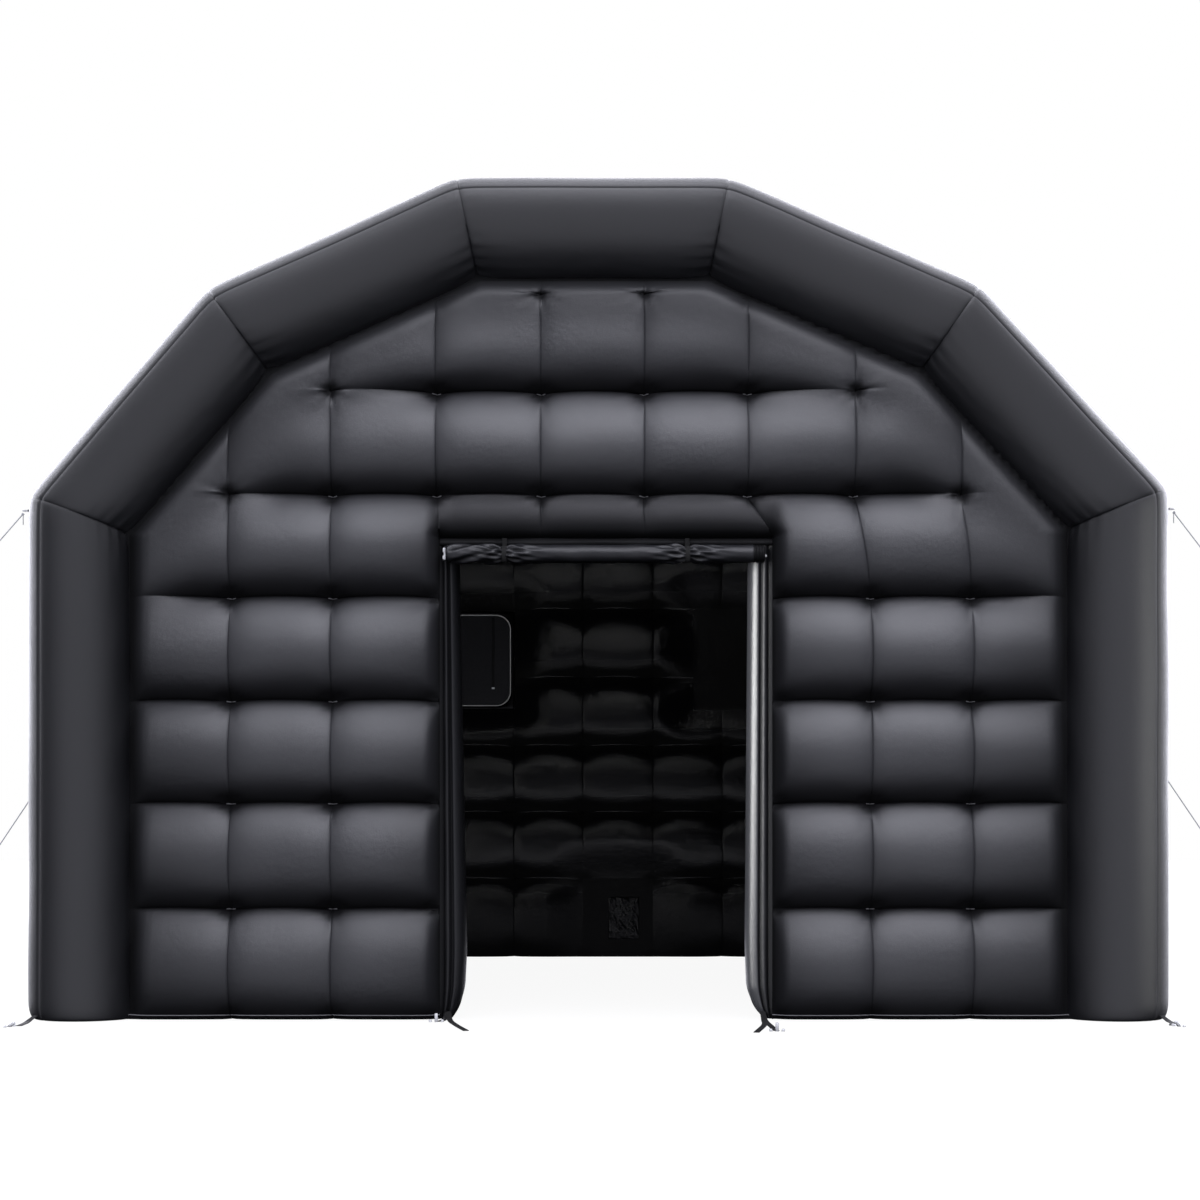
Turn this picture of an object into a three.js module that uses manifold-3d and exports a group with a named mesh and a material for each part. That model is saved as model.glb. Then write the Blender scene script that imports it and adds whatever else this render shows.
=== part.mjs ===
// Inflatable party tent: two inflated arches with quilted walls and a quilted roof between them.
// Millimetres, +Z up. The doorway faces -Y, and the origin is under the middle of the tent on the ground.
import * as THREE from 'three';
import { mergeVertices } from 'three/addons/utils/BufferGeometryUtils.js';
import Module from 'manifold-3d';

const wasm = await Module();
wasm.setup();

// Driving dimensions
const GAP = 0.3;
const DEPTH = 5000;
const TUBE_RADIUS = 240;
const PANEL_HALF = 100;
const PUFF_OUTSIDE = 90;
const PUFF_INSIDE = 76;
const ARCH_Y = DEPTH / 2 - TUBE_RADIUS;
const PANEL_FACE = ARCH_Y + PANEL_HALF;

// Outer corners of both arches, from the left foot over the crown to the right foot
const ARCH_CORNERS = [
  { place: 'left foot', x: -2500, z: 0 },
  { place: 'left shoulder', x: -2500, z: 2282 },
  { place: 'left haunch', x: -1716, z: 3194 },
  { place: 'left crown', x: -623, z: 3683 },
  { place: 'right crown', x: 575, z: 3683 },
  { place: 'right haunch', x: 1676, z: 3207 },
  { place: 'right shoulder', x: 2500, z: 2313 },
  { place: 'right foot', x: 2500, z: 0 },
];
const ARCH_LENGTHS = [
  'post_left', 'haunch_left', 'slope_left', 'crown', 'slope_right', 'haunch_right', 'post_right',
];

// The doorway, between the seams that carry its jambs and its header
const DOOR = { left: -691, right: 757, top: 2097 };
const HEADER_HEIGHT = 35;
const ROLL = { left: -660, right: 721, radius: 39, height: 2019 };
const ROLL_CLEAR = 3;
const ROLL_Y = -(PANEL_FACE + ROLL.radius + ROLL_CLEAR);
const TIES = [
  { name: 'left', x: -408 },
  { name: 'right', x: 386 },
];

// Quilting of the front wall: rows of tufts by height, and seams by their place above and below a bend
const FRONT_ROWS = [0, 479, 937, 1382, 1831, 2276, 2721, 3135, 3320];
const FRONT_SEAMS = [
  { high: -2100, low: -2100, bend: 1831 },
  { high: -1599, low: -1599, bend: 1831 },
  { high: -1158, low: -1158, bend: 1831 },
  { high: -704, low: DOOR.left, bend: DOOR.top },
  { high: -250, low: -250, bend: 1831 },
  { high: 198, low: 198, bend: 1831 },
  { high: 648, low: DOOR.right, bend: DOOR.top },
  { high: 1110, low: 1184, bend: 1831 },
  { high: 1568, low: 1620, bend: 1831 },
  { high: 2100, low: 2100, bend: 1831 },
];
const STRAIGHT_ABOVE = 2276;

// Quilting of the back wall, which runs on a grid of its own
const BACK_ROWS = [0, 521, 963, 1408, 1863, 2320, 2770, 3135, 3320];
const BACK_SEAMS = [-2100, -1489, -1028, -567, -108, 360, 822, 1283, 1745, 2100];
const WINDOW = { left: -1258, right: -567, bottom: 1655, top: 2320, binding: 30, corner: 95 };
const WINDOW_EDGE_HALF = 26;
const WINDOW_TAPER = 170;
const BLANK_PANEL = { left: 640, right: 1283, bottom: 1655, top: 2320 };
const FLAT_CELL = { left: -108, right: 360, bottom: 0, top: 521 };
const FLAT_FADE = 90;

// Quilting of the sides and the roof
const SIDE_ROWS = [0, 479, 937, 1382, 1831];
const DEPTH_CELLS = 9;
const ROOF_ROWS = 2;

const CLOTH = { color: 0x17181a, roughness: 0.5, metalness: 0 };
const WEBBING = { color: 0x0c0c0d, roughness: 0.85, metalness: 0 };
const MESH_CLOTH = { color: 0x2c2d31, roughness: 0.8, metalness: 0 };
const WHITE_PLASTIC = { color: 0xeceef0, roughness: 0.45, metalness: 0 };
const ROPE_YARN = { color: 0xb9bcc2, roughness: 0.8, metalness: 0 };

const tent = new THREE.Group();
tent.name = 'inflatable_party_tent';

function addPiece(name, geometry, look) {
  geometry.computeVertexNormals();
  const mesh = new THREE.Mesh(geometry, new THREE.MeshStandardMaterial(look));
  mesh.name = name;
  tent.add(mesh);
  return mesh;
}

// A closed body from its points and triangles, turned so that its faces point out
function closedBody(points, triangles) {
  let volume = 0;
  const normal = new THREE.Vector3();
  for (const [a, b, c] of triangles) {
    volume += points[a].dot(normal.crossVectors(points[b], points[c]));
  }
  const outward = volume > 0 ? triangles : triangles.map(([a, b, c]) => [a, c, b]);
  const geometry = new THREE.BufferGeometry();
  geometry.setAttribute('position', new THREE.Float32BufferAttribute(points.flatMap((p) => p.toArray()), 3));
  geometry.setIndex(outward.flat());
  return geometry;
}

// A body that runs through rings of points, with flat ends
function loft(rings) {
  const count = rings[0].length;
  const triangles = [];
  for (let ring = 0; ring < rings.length - 1; ring += 1) {
    for (let i = 0; i < count; i += 1) {
      const next = (i + 1) % count;
      const here = ring * count;
      const there = here + count;
      triangles.push([here + i, here + next, there + next], [here + i, there + next, there + i]);
    }
  }
  const last = (rings.length - 1) * count;
  for (let i = 1; i < count - 1; i += 1) {
    triangles.push([0, i + 1, i], [last, last + i, last + i + 1]);
  }
  return closedBody(rings.flat(), triangles);
}

function toSolid(geometry) {
  const bare = geometry.clone();
  bare.deleteAttribute('normal');
  bare.deleteAttribute('uv');
  const merged = mergeVertices(bare, 1e-4);
  return new wasm.Manifold(new wasm.Mesh({
    numProp: 3,
    vertProperties: new Float32Array(merged.attributes.position.array),
    triVerts: new Uint32Array(merged.index.array),
  }));
}

function toGeometry(solid) {
  const mesh = solid.getMesh();
  const geometry = new THREE.BufferGeometry();
  geometry.setAttribute('position', new THREE.BufferAttribute(new Float32Array(mesh.vertProperties), 3));
  geometry.setIndex(new THREE.BufferAttribute(new Uint32Array(mesh.triVerts), 1));
  return geometry;
}

function joined(geometries) {
  return toGeometry(geometries.map(toSolid).reduce((whole, piece) => whole.add(piece)));
}

// Arch frame: the section is stretched at each corner along its mitre
const corners = ARCH_CORNERS.map(({ x, z }) => new THREE.Vector2(x, z));
const directions = corners.slice(1).map((corner, k) => corner.clone().sub(corners[k]).normalize());
const outwards = directions.map((d) => new THREE.Vector2(-d.y, d.x));
const mitres = corners.map((_, k) => {
  const before = outwards[Math.max(k - 1, 0)];
  const after = outwards[Math.min(k, outwards.length - 1)];
  return before.clone().add(after).divideScalar(1 + before.dot(after));
});

// A point at a share of the way along one arch length, offset outwards from the middle of the tube
const MITRE_GAP = GAP * 0.6;

function alongArch(k, share, offset) {
  const start = corners[k].clone().addScaledVector(mitres[k], offset - TUBE_RADIUS);
  const end = corners[k + 1].clone().addScaledVector(mitres[k + 1], offset - TUBE_RADIUS);
  const isFirst = k === 0;
  const isLast = k === ARCH_LENGTHS.length - 1;
  start.addScaledVector(directions[k], isFirst ? 0 : MITRE_GAP);
  end.addScaledVector(directions[k], isLast ? 0 : -MITRE_GAP);
  return start.lerp(end, share);
}

// Round section of four sewn strips: seams at SEAM_ANGLE either side of the outermost and innermost lines
const SEAM_ANGLE = 51;
const SIDE_STEPS = 6;
const FACE_STEPS = 4;
const MITRE_PINCH = 0.06;
const FOOT_TUCK = 0.07;
const PINCH_REACH = 90;
const FOOT_REACH = 30;

function sectionAngles() {
  const strips = [
    { from: -SEAM_ANGLE, to: SEAM_ANGLE, steps: SIDE_STEPS },
    { from: SEAM_ANGLE, to: 180 - SEAM_ANGLE, steps: FACE_STEPS },
    { from: 180 - SEAM_ANGLE, to: 180 + SEAM_ANGLE, steps: SIDE_STEPS },
    { from: 180 + SEAM_ANGLE, to: 360 - SEAM_ANGLE, steps: FACE_STEPS },
  ];
  return strips.flatMap(({ from, to, steps }) => Array.from(
    { length: steps },
    (_, i) => THREE.MathUtils.degToRad(from + ((to - from) * i) / steps),
  ));
}

function archLength(k, planeY) {
  const length = alongArch(k, 0, 0).distanceTo(alongArch(k, 1, 0));
  const end = (isFoot) => (isFoot
    ? { all: FOOT_TUCK, inner: 0, reach: FOOT_REACH }
    : { all: 0, inner: MITRE_PINCH, reach: PINCH_REACH });
  const low = end(k === 0);
  const high = end(k === ARCH_LENGTHS.length - 1);
  const full = { all: 0, inner: 0 };
  const stations = [
    { share: 0, ...low },
    { share: low.reach / length, ...full },
    { share: 1 - high.reach / length, ...full },
    { share: 1, ...high },
  ];
  return loft(stations.map(({ share, all, inner }) => sectionAngles().map((angle) => {
    const out = Math.cos(angle);
    const offset = TUBE_RADIUS * out * (1 - all - (out < 0 ? inner : 0));
    const deep = TUBE_RADIUS * Math.sin(angle) * (1 - all - inner);
    const point = alongArch(k, share, offset);
    return new THREE.Vector3(point.x, planeY + deep, point.y);
  })));
}

for (const [end, planeY] of [['front', -ARCH_Y], ['rear', ARCH_Y]]) {
  ARCH_LENGTHS.forEach((place, k) => addPiece(`${end}_${place}`, archLength(k, planeY), CLOTH));
}

// Height of the quilting over its tufts, from 0 at a tuft to 1 in the middle of a cell
const CROSS_RIDGE = 0.5;
const LEVEL_RIDGE = 0.2;
const PUFF_POWER = 2.4;
const VALLEY_POWER = 0.6;
const SEAM_POWER = 0.7;
const crown = (t) => 1 - Math.abs(2 * (t - Math.floor(t)) - 1) ** PUFF_POWER;

function quilting(u, v) {
  const across = crown(u);
  const up = crown(v) ** VALLEY_POWER;
  return up * (CROSS_RIDGE + (1 - CROSS_RIDGE) * across ** SEAM_POWER) + LEVEL_RIDGE * across * (1 - up);
}

// How far the quilting has risen at a distance from the edge of its panel
const EDGE_FADE = 170;

function edgeRise(distance) {
  const share = THREE.MathUtils.clamp(distance / EDGE_FADE, 0, 1);
  return (1 - (1 - share) ** PUFF_POWER) ** VALLEY_POWER;
}

// Lines of a quilting grid between two seam numbers, with so many steps to a cell and one at each fixed line
const LEAST_STEP = 0.35;

function gridLines(low, high, steps, fixed = []) {
  const lines = [low, high, ...fixed.filter((line) => line > low && line < high)];
  for (let i = Math.floor(low * steps) + 1; i / steps < high; i += 1) {
    const line = i / steps;
    if (lines.every((other) => Math.abs(other - line) * steps > LEAST_STEP)) {
      lines.push(line);
    }
  }
  return lines.sort((a, b) => a - b);
}

// Cells of a grid as outlines of four vertices each
function gridCells(uLines, vLines, vertexAt) {
  const rows = vLines.map((v) => uLines.map((u) => vertexAt(u, v)));
  const cells = [];
  for (let j = 0; j < vLines.length - 1; j += 1) {
    for (let i = 0; i < uLines.length - 1; i += 1) {
      cells.push([rows[j][i], rows[j][i + 1], rows[j + 1][i + 1], rows[j + 1][i]]);
    }
  }
  return cells;
}

// A vertex between two others, worked out alike from either side
function between(first, second, sideAt) {
  const [a, b] = first.p < second.p || (first.p === second.p && first.q < second.q)
    ? [first, second]
    : [second, first];
  const share = sideAt(a) / (sideAt(a) - sideAt(b));
  const mix = (key) => a[key] + (b[key] - a[key]) * share;
  return { p: mix('p'), q: mix('q'), u: mix('u'), v: mix('v') };
}

function clipCell(cell, sideAt) {
  const kept = [];
  cell.forEach((vertex, i) => {
    const next = cell[(i + 1) % cell.length];
    const here = sideAt(vertex);
    const there = sideAt(next);
    if (here <= 0) {
      kept.push(vertex);
    }
    if (here * there < 0) {
      kept.push(between(vertex, next, sideAt));
    }
  });
  return kept;
}

const KEY_PARTS = 100;
const LEAST_AREA = 1;
const placeKey = ({ p, q }) => `${Math.round(p * KEY_PARTS)},${Math.round(q * KEY_PARTS)}`;

function cellArea(cell) {
  return cell.reduce((sum, a, i) => {
    const b = cell[(i + 1) % cell.length];
    return sum + (a.p * b.q - b.p * a.q) / 2;
  }, 0);
}

// Triangles of a face, its vertices without repeats, and those on its border in order around it
function faceOf(cells) {
  const vertices = [];
  const index = new Map();
  const borders = new Map();
  const triangles = [];
  const numberOf = (vertex) => {
    const key = placeKey(vertex);
    if (!index.has(key)) {
      index.set(key, vertices.length);
      vertices.push(vertex);
    }
    return index.get(key);
  };
  for (const cell of cells.filter((outline) => outline.length > 2 && cellArea(outline) > LEAST_AREA)) {
    const ids = cell.map(numberOf).filter((id, i, all) => id !== all[(i + 1) % all.length]);
    ids.forEach((a, i) => {
      const b = ids[(i + 1) % ids.length];
      if (!borders.delete(`${b},${a}`)) {
        borders.set(`${a},${b}`, [a, b]);
      }
    });
    for (let i = 1; i < ids.length - 1; i += 1) {
      triangles.push([ids[0], ids[i], ids[i + 1]]);
    }
  }
  const follows = new Map([...borders.values()]);
  const first = [...follows.keys()].sort((a, b) => (
    vertices[a].q - vertices[b].q || vertices[a].p - vertices[b].p))[0];
  const border = [first];
  for (let id = follows.get(first); id !== first; id = follows.get(id)) {
    border.push(id);
  }
  return { vertices, triangles, border };
}

// Turn of each border vertex about the middle of the face, from 0 at the first to a full turn
const FULL_TURN = 2 * Math.PI;
const SAME_TURN = 1e-7;

function bordersByTurn(face, middle) {
  const angleOf = (id) => Math.atan2(face.vertices[id].q - middle.y, face.vertices[id].p - middle.x);
  const start = angleOf(face.border[0]);
  return face.border.map((id, i) => ({
    id,
    turn: i === 0 ? 0 : (((angleOf(id) - start) % FULL_TURN) + FULL_TURN) % FULL_TURN,
  }));
}

// A quilted panel: two faces over the same outline, joined by a rim
function quiltedBody(outsideCells, insideCells, outsideAt, insideAt) {
  const outside = faceOf(outsideCells);
  const inside = faceOf(insideCells);
  const middle = new THREE.Vector2();
  outside.border.forEach((id) => {
    middle.x += outside.vertices[id].p / outside.border.length;
    middle.y += outside.vertices[id].q / outside.border.length;
  });
  const points = [...outside.vertices.map(outsideAt), ...inside.vertices.map(insideAt)];
  const shift = outside.vertices.length;
  const triangles = [...outside.triangles];
  inside.triangles.forEach(([a, b, c]) => triangles.push([a + shift, c + shift, b + shift]));
  const outer = bordersByTurn(outside, middle);
  const inner = bordersByTurn(inside, middle);
  let i = 0;
  let j = 0;
  while (i < outer.length || j < inner.length) {
    const a = outer[i % outer.length].id;
    const b = inner[j % inner.length].id + shift;
    const outerTurn = i + 1 < outer.length ? outer[i + 1].turn : FULL_TURN;
    const innerTurn = j + 1 < inner.length ? inner[j + 1].turn : FULL_TURN;
    if (j >= inner.length || (i < outer.length && outerTurn <= innerTurn + SAME_TURN)) {
      triangles.push([outer[(i + 1) % outer.length].id, a, b]);
      i += 1;
    } else {
      triangles.push([b, inner[(j + 1) % inner.length].id + shift, a]);
      j += 1;
    }
  }
  return closedBody(points, triangles);
}

// Side walls and roof panels, between the arches
const SPAN_HALF = ARCH_Y - TUBE_RADIUS - GAP;
const SPAN_STEPS = { outside: 3, inside: 2 };

function spanPanel(name, k, rowShares) {
  const rows = rowShares.length - 1;
  const shareAt = (v) => {
    const row = Math.min(Math.floor(v), rows - 1);
    return THREE.MathUtils.lerp(rowShares[row], rowShares[row + 1], v - row);
  };
  const length = alongArch(k, 0, 0).distanceTo(alongArch(k, 1, 0));
  const vertexAt = (u, v) => ({
    p: THREE.MathUtils.lerp(-SPAN_HALF, SPAN_HALF, u / DEPTH_CELLS),
    q: shareAt(v) * length,
    u,
    v,
  });
  const pointAt = (side, puff) => ({ p, q, u, v }) => {
    const rise = edgeRise(SPAN_HALF - Math.abs(p)) * quilting(u, v);
    const point = alongArch(k, q / length, side * (PANEL_HALF + puff * rise));
    return new THREE.Vector3(point.x, p, point.y);
  };
  const cells = (steps) => gridCells(gridLines(0, DEPTH_CELLS, steps), gridLines(0, rows, steps), vertexAt);
  addPiece(name, quiltedBody(
    cells(SPAN_STEPS.outside),
    cells(SPAN_STEPS.inside),
    pointAt(1, PUFF_OUTSIDE),
    pointAt(-1, PUFF_INSIDE),
  ), CLOTH);
}

const evenShares = Array.from({ length: ROOF_ROWS + 1 }, (_, i) => i / ROOF_ROWS);

ARCH_LENGTHS.forEach((place, k) => {
  const top = Math.max(alongArch(k, 0, 0).y, alongArch(k, 1, 0).y);
  const upShares = [...SIDE_ROWS.map((z) => z / top), 1];
  if (place === 'post_left') {
    spanPanel('side_wall_left', k, upShares);
  } else if (place === 'post_right') {
    spanPanel('side_wall_right', k, upShares.map((share) => 1 - share).reverse());
  } else {
    spanPanel(`roof_${place}`, k, evenShares);
  }
});

// The outline that both end walls fill, inside the arch tubes
const wallCorners = corners.map((corner, k) => (
  corner.clone().addScaledVector(mitres[k], -(2 * TUBE_RADIUS + GAP))));
const wallSides = outwards.map((out, k) => ({ p, q }) => (
  (p - wallCorners[k].x) * out.x + (q - wallCorners[k].y) * out.y));
const CORNER_SNAP = 50;
const EDGE_SNAP = 28;

// A grid vertex next to the outline is moved onto it, along the panel's own limit where it is on one
function snapped(vertex, onUpright, onLevel) {
  const corner = wallCorners.find(({ x, y }) => Math.hypot(vertex.p - x, vertex.q - y) < CORNER_SNAP);
  if (corner && !onUpright && !onLevel) {
    return { ...vertex, p: corner.x, q: corner.y };
  }
  const k = wallSides.findIndex((sideAt) => Math.abs(sideAt(vertex)) < EDGE_SNAP);
  if (k < 0 || (onUpright && onLevel)) {
    return vertex;
  }
  const out = outwards[k];
  const distance = wallSides[k](vertex);
  if (onUpright) {
    return { ...vertex, q: vertex.q - distance / out.y };
  }
  if (onLevel) {
    return { ...vertex, p: vertex.p - distance / out.x };
  }
  return { ...vertex, p: vertex.p - distance * out.x, q: vertex.q - distance * out.y };
}

// Part of an end wall between two seams and two rows, trimmed to the outline
function wallCells(wall, limits, steps) {
  const { left, right, bottom, top } = limits;
  const vertexAt = (u, v) => {
    const q = wall.rowAt(v) + (v === bottom && v > 0 ? GAP / 2 : 0) - (v === top ? GAP / 2 : 0);
    const p = wall.seamAt(u, q) + (u === left ? GAP / 2 : 0) - (u === right ? GAP / 2 : 0);
    const isInner = (line, last) => line > 0 && line < last;
    const onUpright = (u === left || u === right) && isInner(u, wall.columns);
    const onLevel = (v === bottom || v === top) && isInner(v, wall.rows.length - 1);
    return snapped({ p, q, u, v }, onUpright, onLevel || v === 0);
  };
  const vLines = gridLines(bottom, top, steps, wall.fixedRows);
  const cells = gridCells(gridLines(left, right, steps), vLines, vertexAt);
  return wallSides.reduce((kept, sideAt) => kept.map((cell) => clipCell(cell, sideAt)), cells);
}

function rowAt(rows, v) {
  const row = Math.min(Math.floor(v), rows.length - 2);
  return THREE.MathUtils.lerp(rows[row], rows[row + 1], v - row);
}

function outlineDistance(vertex) {
  return Math.min(...wallSides.map((sideAt) => -sideAt(vertex)));
}

// Distance from a point of the wall to a box in it, 0 inside
function boxDistance({ p, q }, { left, right, bottom, top }) {
  return Math.hypot(Math.max(left - p, p - right, 0), Math.max(bottom - q, q - top, 0));
}

const frontWall = {
  rows: FRONT_ROWS,
  fixedRows: [lineNumber(FRONT_ROWS, DOOR.top)],
  columns: FRONT_SEAMS.length - 1,
  planeY: -ARCH_Y,
  rowAt: (v) => rowAt(FRONT_ROWS, v),
  seamAt: (u, z) => {
    const placeOf = ({ high, low, bend }) => THREE.MathUtils.mapLinear(
      THREE.MathUtils.clamp(z, bend, STRAIGHT_ABOVE), bend, STRAIGHT_ABOVE, low, high);
    return rowAt(FRONT_SEAMS.map(placeOf), u);
  },
  halfAt: () => PANEL_HALF,
  riseAt: (vertex) => Math.min(
    edgeRise(outlineDistance(vertex)),
    edgeRise(boxDistance(vertex, { ...DOOR, bottom: 0 })),
  ),
  flats: { outside: [], inside: [] },
  steps: { outside: 3, inside: 2 },
};

const backWall = {
  rows: BACK_ROWS,
  fixedRows: [],
  columns: BACK_SEAMS.length - 1,
  planeY: ARCH_Y,
  rowAt: (v) => rowAt(BACK_ROWS, v),
  seamAt: (u) => rowAt(BACK_SEAMS, u),
  halfAt: (vertex) => {
    const share = Math.min(boxDistance(vertex, WINDOW) / WINDOW_TAPER, 1);
    return THREE.MathUtils.lerp(WINDOW_EDGE_HALF, PANEL_HALF, Math.sqrt(share));
  },
  riseAt: (vertex) => edgeRise(outlineDistance(vertex)),
  flats: { outside: [WINDOW], inside: [WINDOW, BLANK_PANEL, FLAT_CELL] },
  steps: { outside: 2, inside: 3 },
};

function wallPart(name, wall, limits) {
  const outward = Math.sign(wall.planeY);
  const pointAt = (side, puff, flats) => (vertex) => {
    const rise = Math.min(wall.riseAt(vertex), ...flats.map((flat) => boxDistance(vertex, flat) / FLAT_FADE));
    const deep = wall.halfAt(vertex) + puff * rise * quilting(vertex.u, vertex.v);
    return new THREE.Vector3(vertex.p, wall.planeY + outward * side * deep, vertex.q);
  };
  addPiece(name, quiltedBody(
    wallCells(wall, limits, wall.steps.outside),
    wallCells(wall, limits, wall.steps.inside),
    pointAt(1, PUFF_OUTSIDE, wall.flats.outside),
    pointAt(-1, PUFF_INSIDE, wall.flats.inside),
  ), CLOTH);
}

// The seam or row number at a place
function lineNumber(places, place) {
  const row = places.findLastIndex((start, i) => start <= place && i < places.length - 1);
  return row + (place - places[row]) / (places[row + 1] - places[row]);
}

const frontLast = FRONT_SEAMS.length - 1;
const frontTop = FRONT_ROWS.length - 1;
const doorLeftSeam = FRONT_SEAMS.findIndex(({ low }) => low === DOOR.left);
const doorRightSeam = FRONT_SEAMS.findIndex(({ low }) => low === DOOR.right);
const doorTopRow = lineNumber(FRONT_ROWS, DOOR.top);
wallPart('front_wall_left', frontWall, { left: 0, right: doorLeftSeam, bottom: 0, top: frontTop });
wallPart('front_wall_head', frontWall, {
  left: doorLeftSeam, right: doorRightSeam, bottom: doorTopRow, top: frontTop,
});
wallPart('front_wall_right', frontWall, { left: doorRightSeam, right: frontLast, bottom: 0, top: frontTop });

const backLast = BACK_SEAMS.length - 1;
const backTop = BACK_ROWS.length - 1;
const sill = lineNumber(BACK_ROWS, WINDOW.bottom);
const lintel = lineNumber(BACK_ROWS, WINDOW.top);
const windowLeft = lineNumber(BACK_SEAMS, WINDOW.left);
const windowRight = lineNumber(BACK_SEAMS, WINDOW.right);
wallPart('back_wall_base', backWall, { left: 0, right: backLast, bottom: 0, top: sill });
wallPart('back_wall_left', backWall, { left: 0, right: windowLeft, bottom: sill, top: lintel });
wallPart('back_wall_right', backWall, { left: windowRight, right: backLast, bottom: sill, top: lintel });
wallPart('back_wall_head', backWall, { left: 0, right: backLast, bottom: lintel, top: backTop });

// Door jambs: puffed edge gussets whose reach into the doorway changes with height
const JAMB_SHAPES = [
  { z: 0, left: 46, right: 30, narrow: 22 },
  { z: 45, left: 78, right: 72, narrow: 8 },
  { z: 130, left: 102, right: 104, narrow: 0 },
  { z: 300, left: 112, right: 112, narrow: 0 },
  { z: 1000, left: 98, right: 106, narrow: 0 },
  { z: DOOR.top - HEADER_HEIGHT - GAP, left: 77, right: 98, narrow: 0 },
];
const JAMB_STEPS = 8;

function jamb(edge, inward, key) {
  return loft(JAMB_SHAPES.map((shape) => Array.from({ length: JAMB_STEPS + 1 }, (_, i) => {
    const angle = Math.PI * (i / JAMB_STEPS - 0.5);
    return new THREE.Vector3(
      edge + inward * (GAP + shape[key] * Math.cos(angle)),
      -ARCH_Y + (PANEL_HALF - shape.narrow) * Math.sin(angle),
      shape.z,
    );
  })));
}

addPiece('door_jamb_left', jamb(DOOR.left, 1, 'left'), CLOTH);
addPiece('door_jamb_right', jamb(DOOR.right, -1, 'right'), CLOTH);

// Header hem across the doorway, a little proud of the wall
const HEADER_PROUD = 6;
const HEADER_ROUND = 9;

function header() {
  const front = -(PANEL_FACE + HEADER_PROUD);
  const back = -(ARCH_Y - PANEL_HALF);
  const high = DOOR.top - GAP;
  const low = high - HEADER_HEIGHT;
  const section = new THREE.Shape();
  section.moveTo(back, low);
  section.lineTo(back, high);
  section.lineTo(front, high);
  section.lineTo(front, low + HEADER_ROUND);
  section.absarc(front + HEADER_ROUND, low + HEADER_ROUND, HEADER_ROUND, Math.PI, 1.5 * Math.PI, false);
  const geometry = new THREE.ExtrudeGeometry(section, {
    depth: DOOR.right - DOOR.left,
    bevelEnabled: false,
    curveSegments: 3,
  });
  return acrossX(geometry).translate(DOOR.left, 0, 0);
}

// Turns a section drawn in the YZ plane, and extruded, to run along X
function acrossX(geometry) {
  const turned = new THREE.Matrix4().makeBasis(
    new THREE.Vector3(0, 1, 0),
    new THREE.Vector3(0, 0, 1),
    new THREE.Vector3(1, 0, 0),
  );
  return geometry.applyMatrix4(turned);
}

addPiece('door_header', header(), CLOTH);

// The flap rolled up under the header, drawn in by its two ties
const ROLL_STEPS = 14;
const ROLL_SAG = 3;
const ROLL_ENDS = { left: 30, leftThinner: 6, right: 60, rightThinner: 7 };
const TIE_PINCH = 8;
const TIE_WIDTH = 20;
const TIE_REACH = 70;

function rollRing(x, radius, sag) {
  return Array.from({ length: ROLL_STEPS }, (_, i) => {
    const angle = (2 * Math.PI * i) / ROLL_STEPS;
    const height = ROLL.height - sag + radius * Math.sin(angle);
    return new THREE.Vector3(x, ROLL_Y + radius * Math.cos(angle), height);
  });
}

function doorRoll() {
  const tied = ROLL.radius - TIE_PINCH;
  const stations = [
    { x: ROLL.left, radius: ROLL.radius - ROLL_ENDS.leftThinner, sag: 0 },
    { x: ROLL.left + ROLL_ENDS.left, radius: ROLL.radius, sag: 0 },
    ...TIES.flatMap(({ x }) => [
      { x: x - TIE_REACH, radius: ROLL.radius, sag: ROLL_SAG },
      { x: x - TIE_WIDTH, radius: tied, sag: 0 },
      { x: x + TIE_WIDTH, radius: tied, sag: 0 },
      { x: x + TIE_REACH, radius: ROLL.radius, sag: ROLL_SAG },
    ]),
    { x: ROLL.right - ROLL_ENDS.right, radius: ROLL.radius, sag: 0 },
    { x: ROLL.right, radius: ROLL.radius - ROLL_ENDS.rightThinner, sag: 0 },
  ];
  return loft(stations.map(({ x, radius, sag }) => rollRing(x, radius, sag)));
}

// A tie: a flat band around the roll, sewn to the header by a short strip
const TIE_THICKNESS = 3;
const TIE_SIDES = 14;
const TIE_STRIP = { low: ROLL.height + 12, high: DOOR.top - 4 };
const BRIDGE_HEIGHT = 18;

function rollTie(x) {
  const inner = (ROLL.radius - TIE_PINCH + GAP) / Math.cos(Math.PI / TIE_SIDES);
  const outer = inner + TIE_THICKNESS;
  const profile = [
    [inner, -TIE_WIDTH / 2], [outer, -TIE_WIDTH / 2], [outer, TIE_WIDTH / 2], [inner, TIE_WIDTH / 2],
    [inner, -TIE_WIDTH / 2],
  ].map(([radius, along]) => new THREE.Vector2(radius, along));
  const band = new THREE.LatheGeometry(profile, TIE_SIDES);
  band.rotateZ(Math.PI / 2).translate(x, ROLL_Y, ROLL.height);
  const front = -(PANEL_FACE + HEADER_PROUD + GAP);
  const back = ROLL_Y + Math.sqrt((inner + TIE_THICKNESS / 2) ** 2 - BRIDGE_HEIGHT ** 2);
  const strip = new THREE.BoxGeometry(TIE_WIDTH, TIE_THICKNESS, TIE_STRIP.high - TIE_STRIP.low);
  strip.translate(x, front - TIE_THICKNESS / 2, (TIE_STRIP.high + TIE_STRIP.low) / 2);
  const bridge = new THREE.BoxGeometry(TIE_WIDTH, front - back, TIE_THICKNESS);
  bridge.translate(x, (front + back) / 2, ROLL.height + BRIDGE_HEIGHT);
  return joined([band, strip, bridge]);
}

addPiece('door_roll', doorRoll(), CLOTH);
for (const { name, x } of TIES) {
  addPiece(`door_roll_tie_${name}`, rollTie(x), WEBBING);
}

// White clip on the left end of the roll
const CLIP = { width: 15, depth: 26, height: 58, round: 3 };

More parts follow.
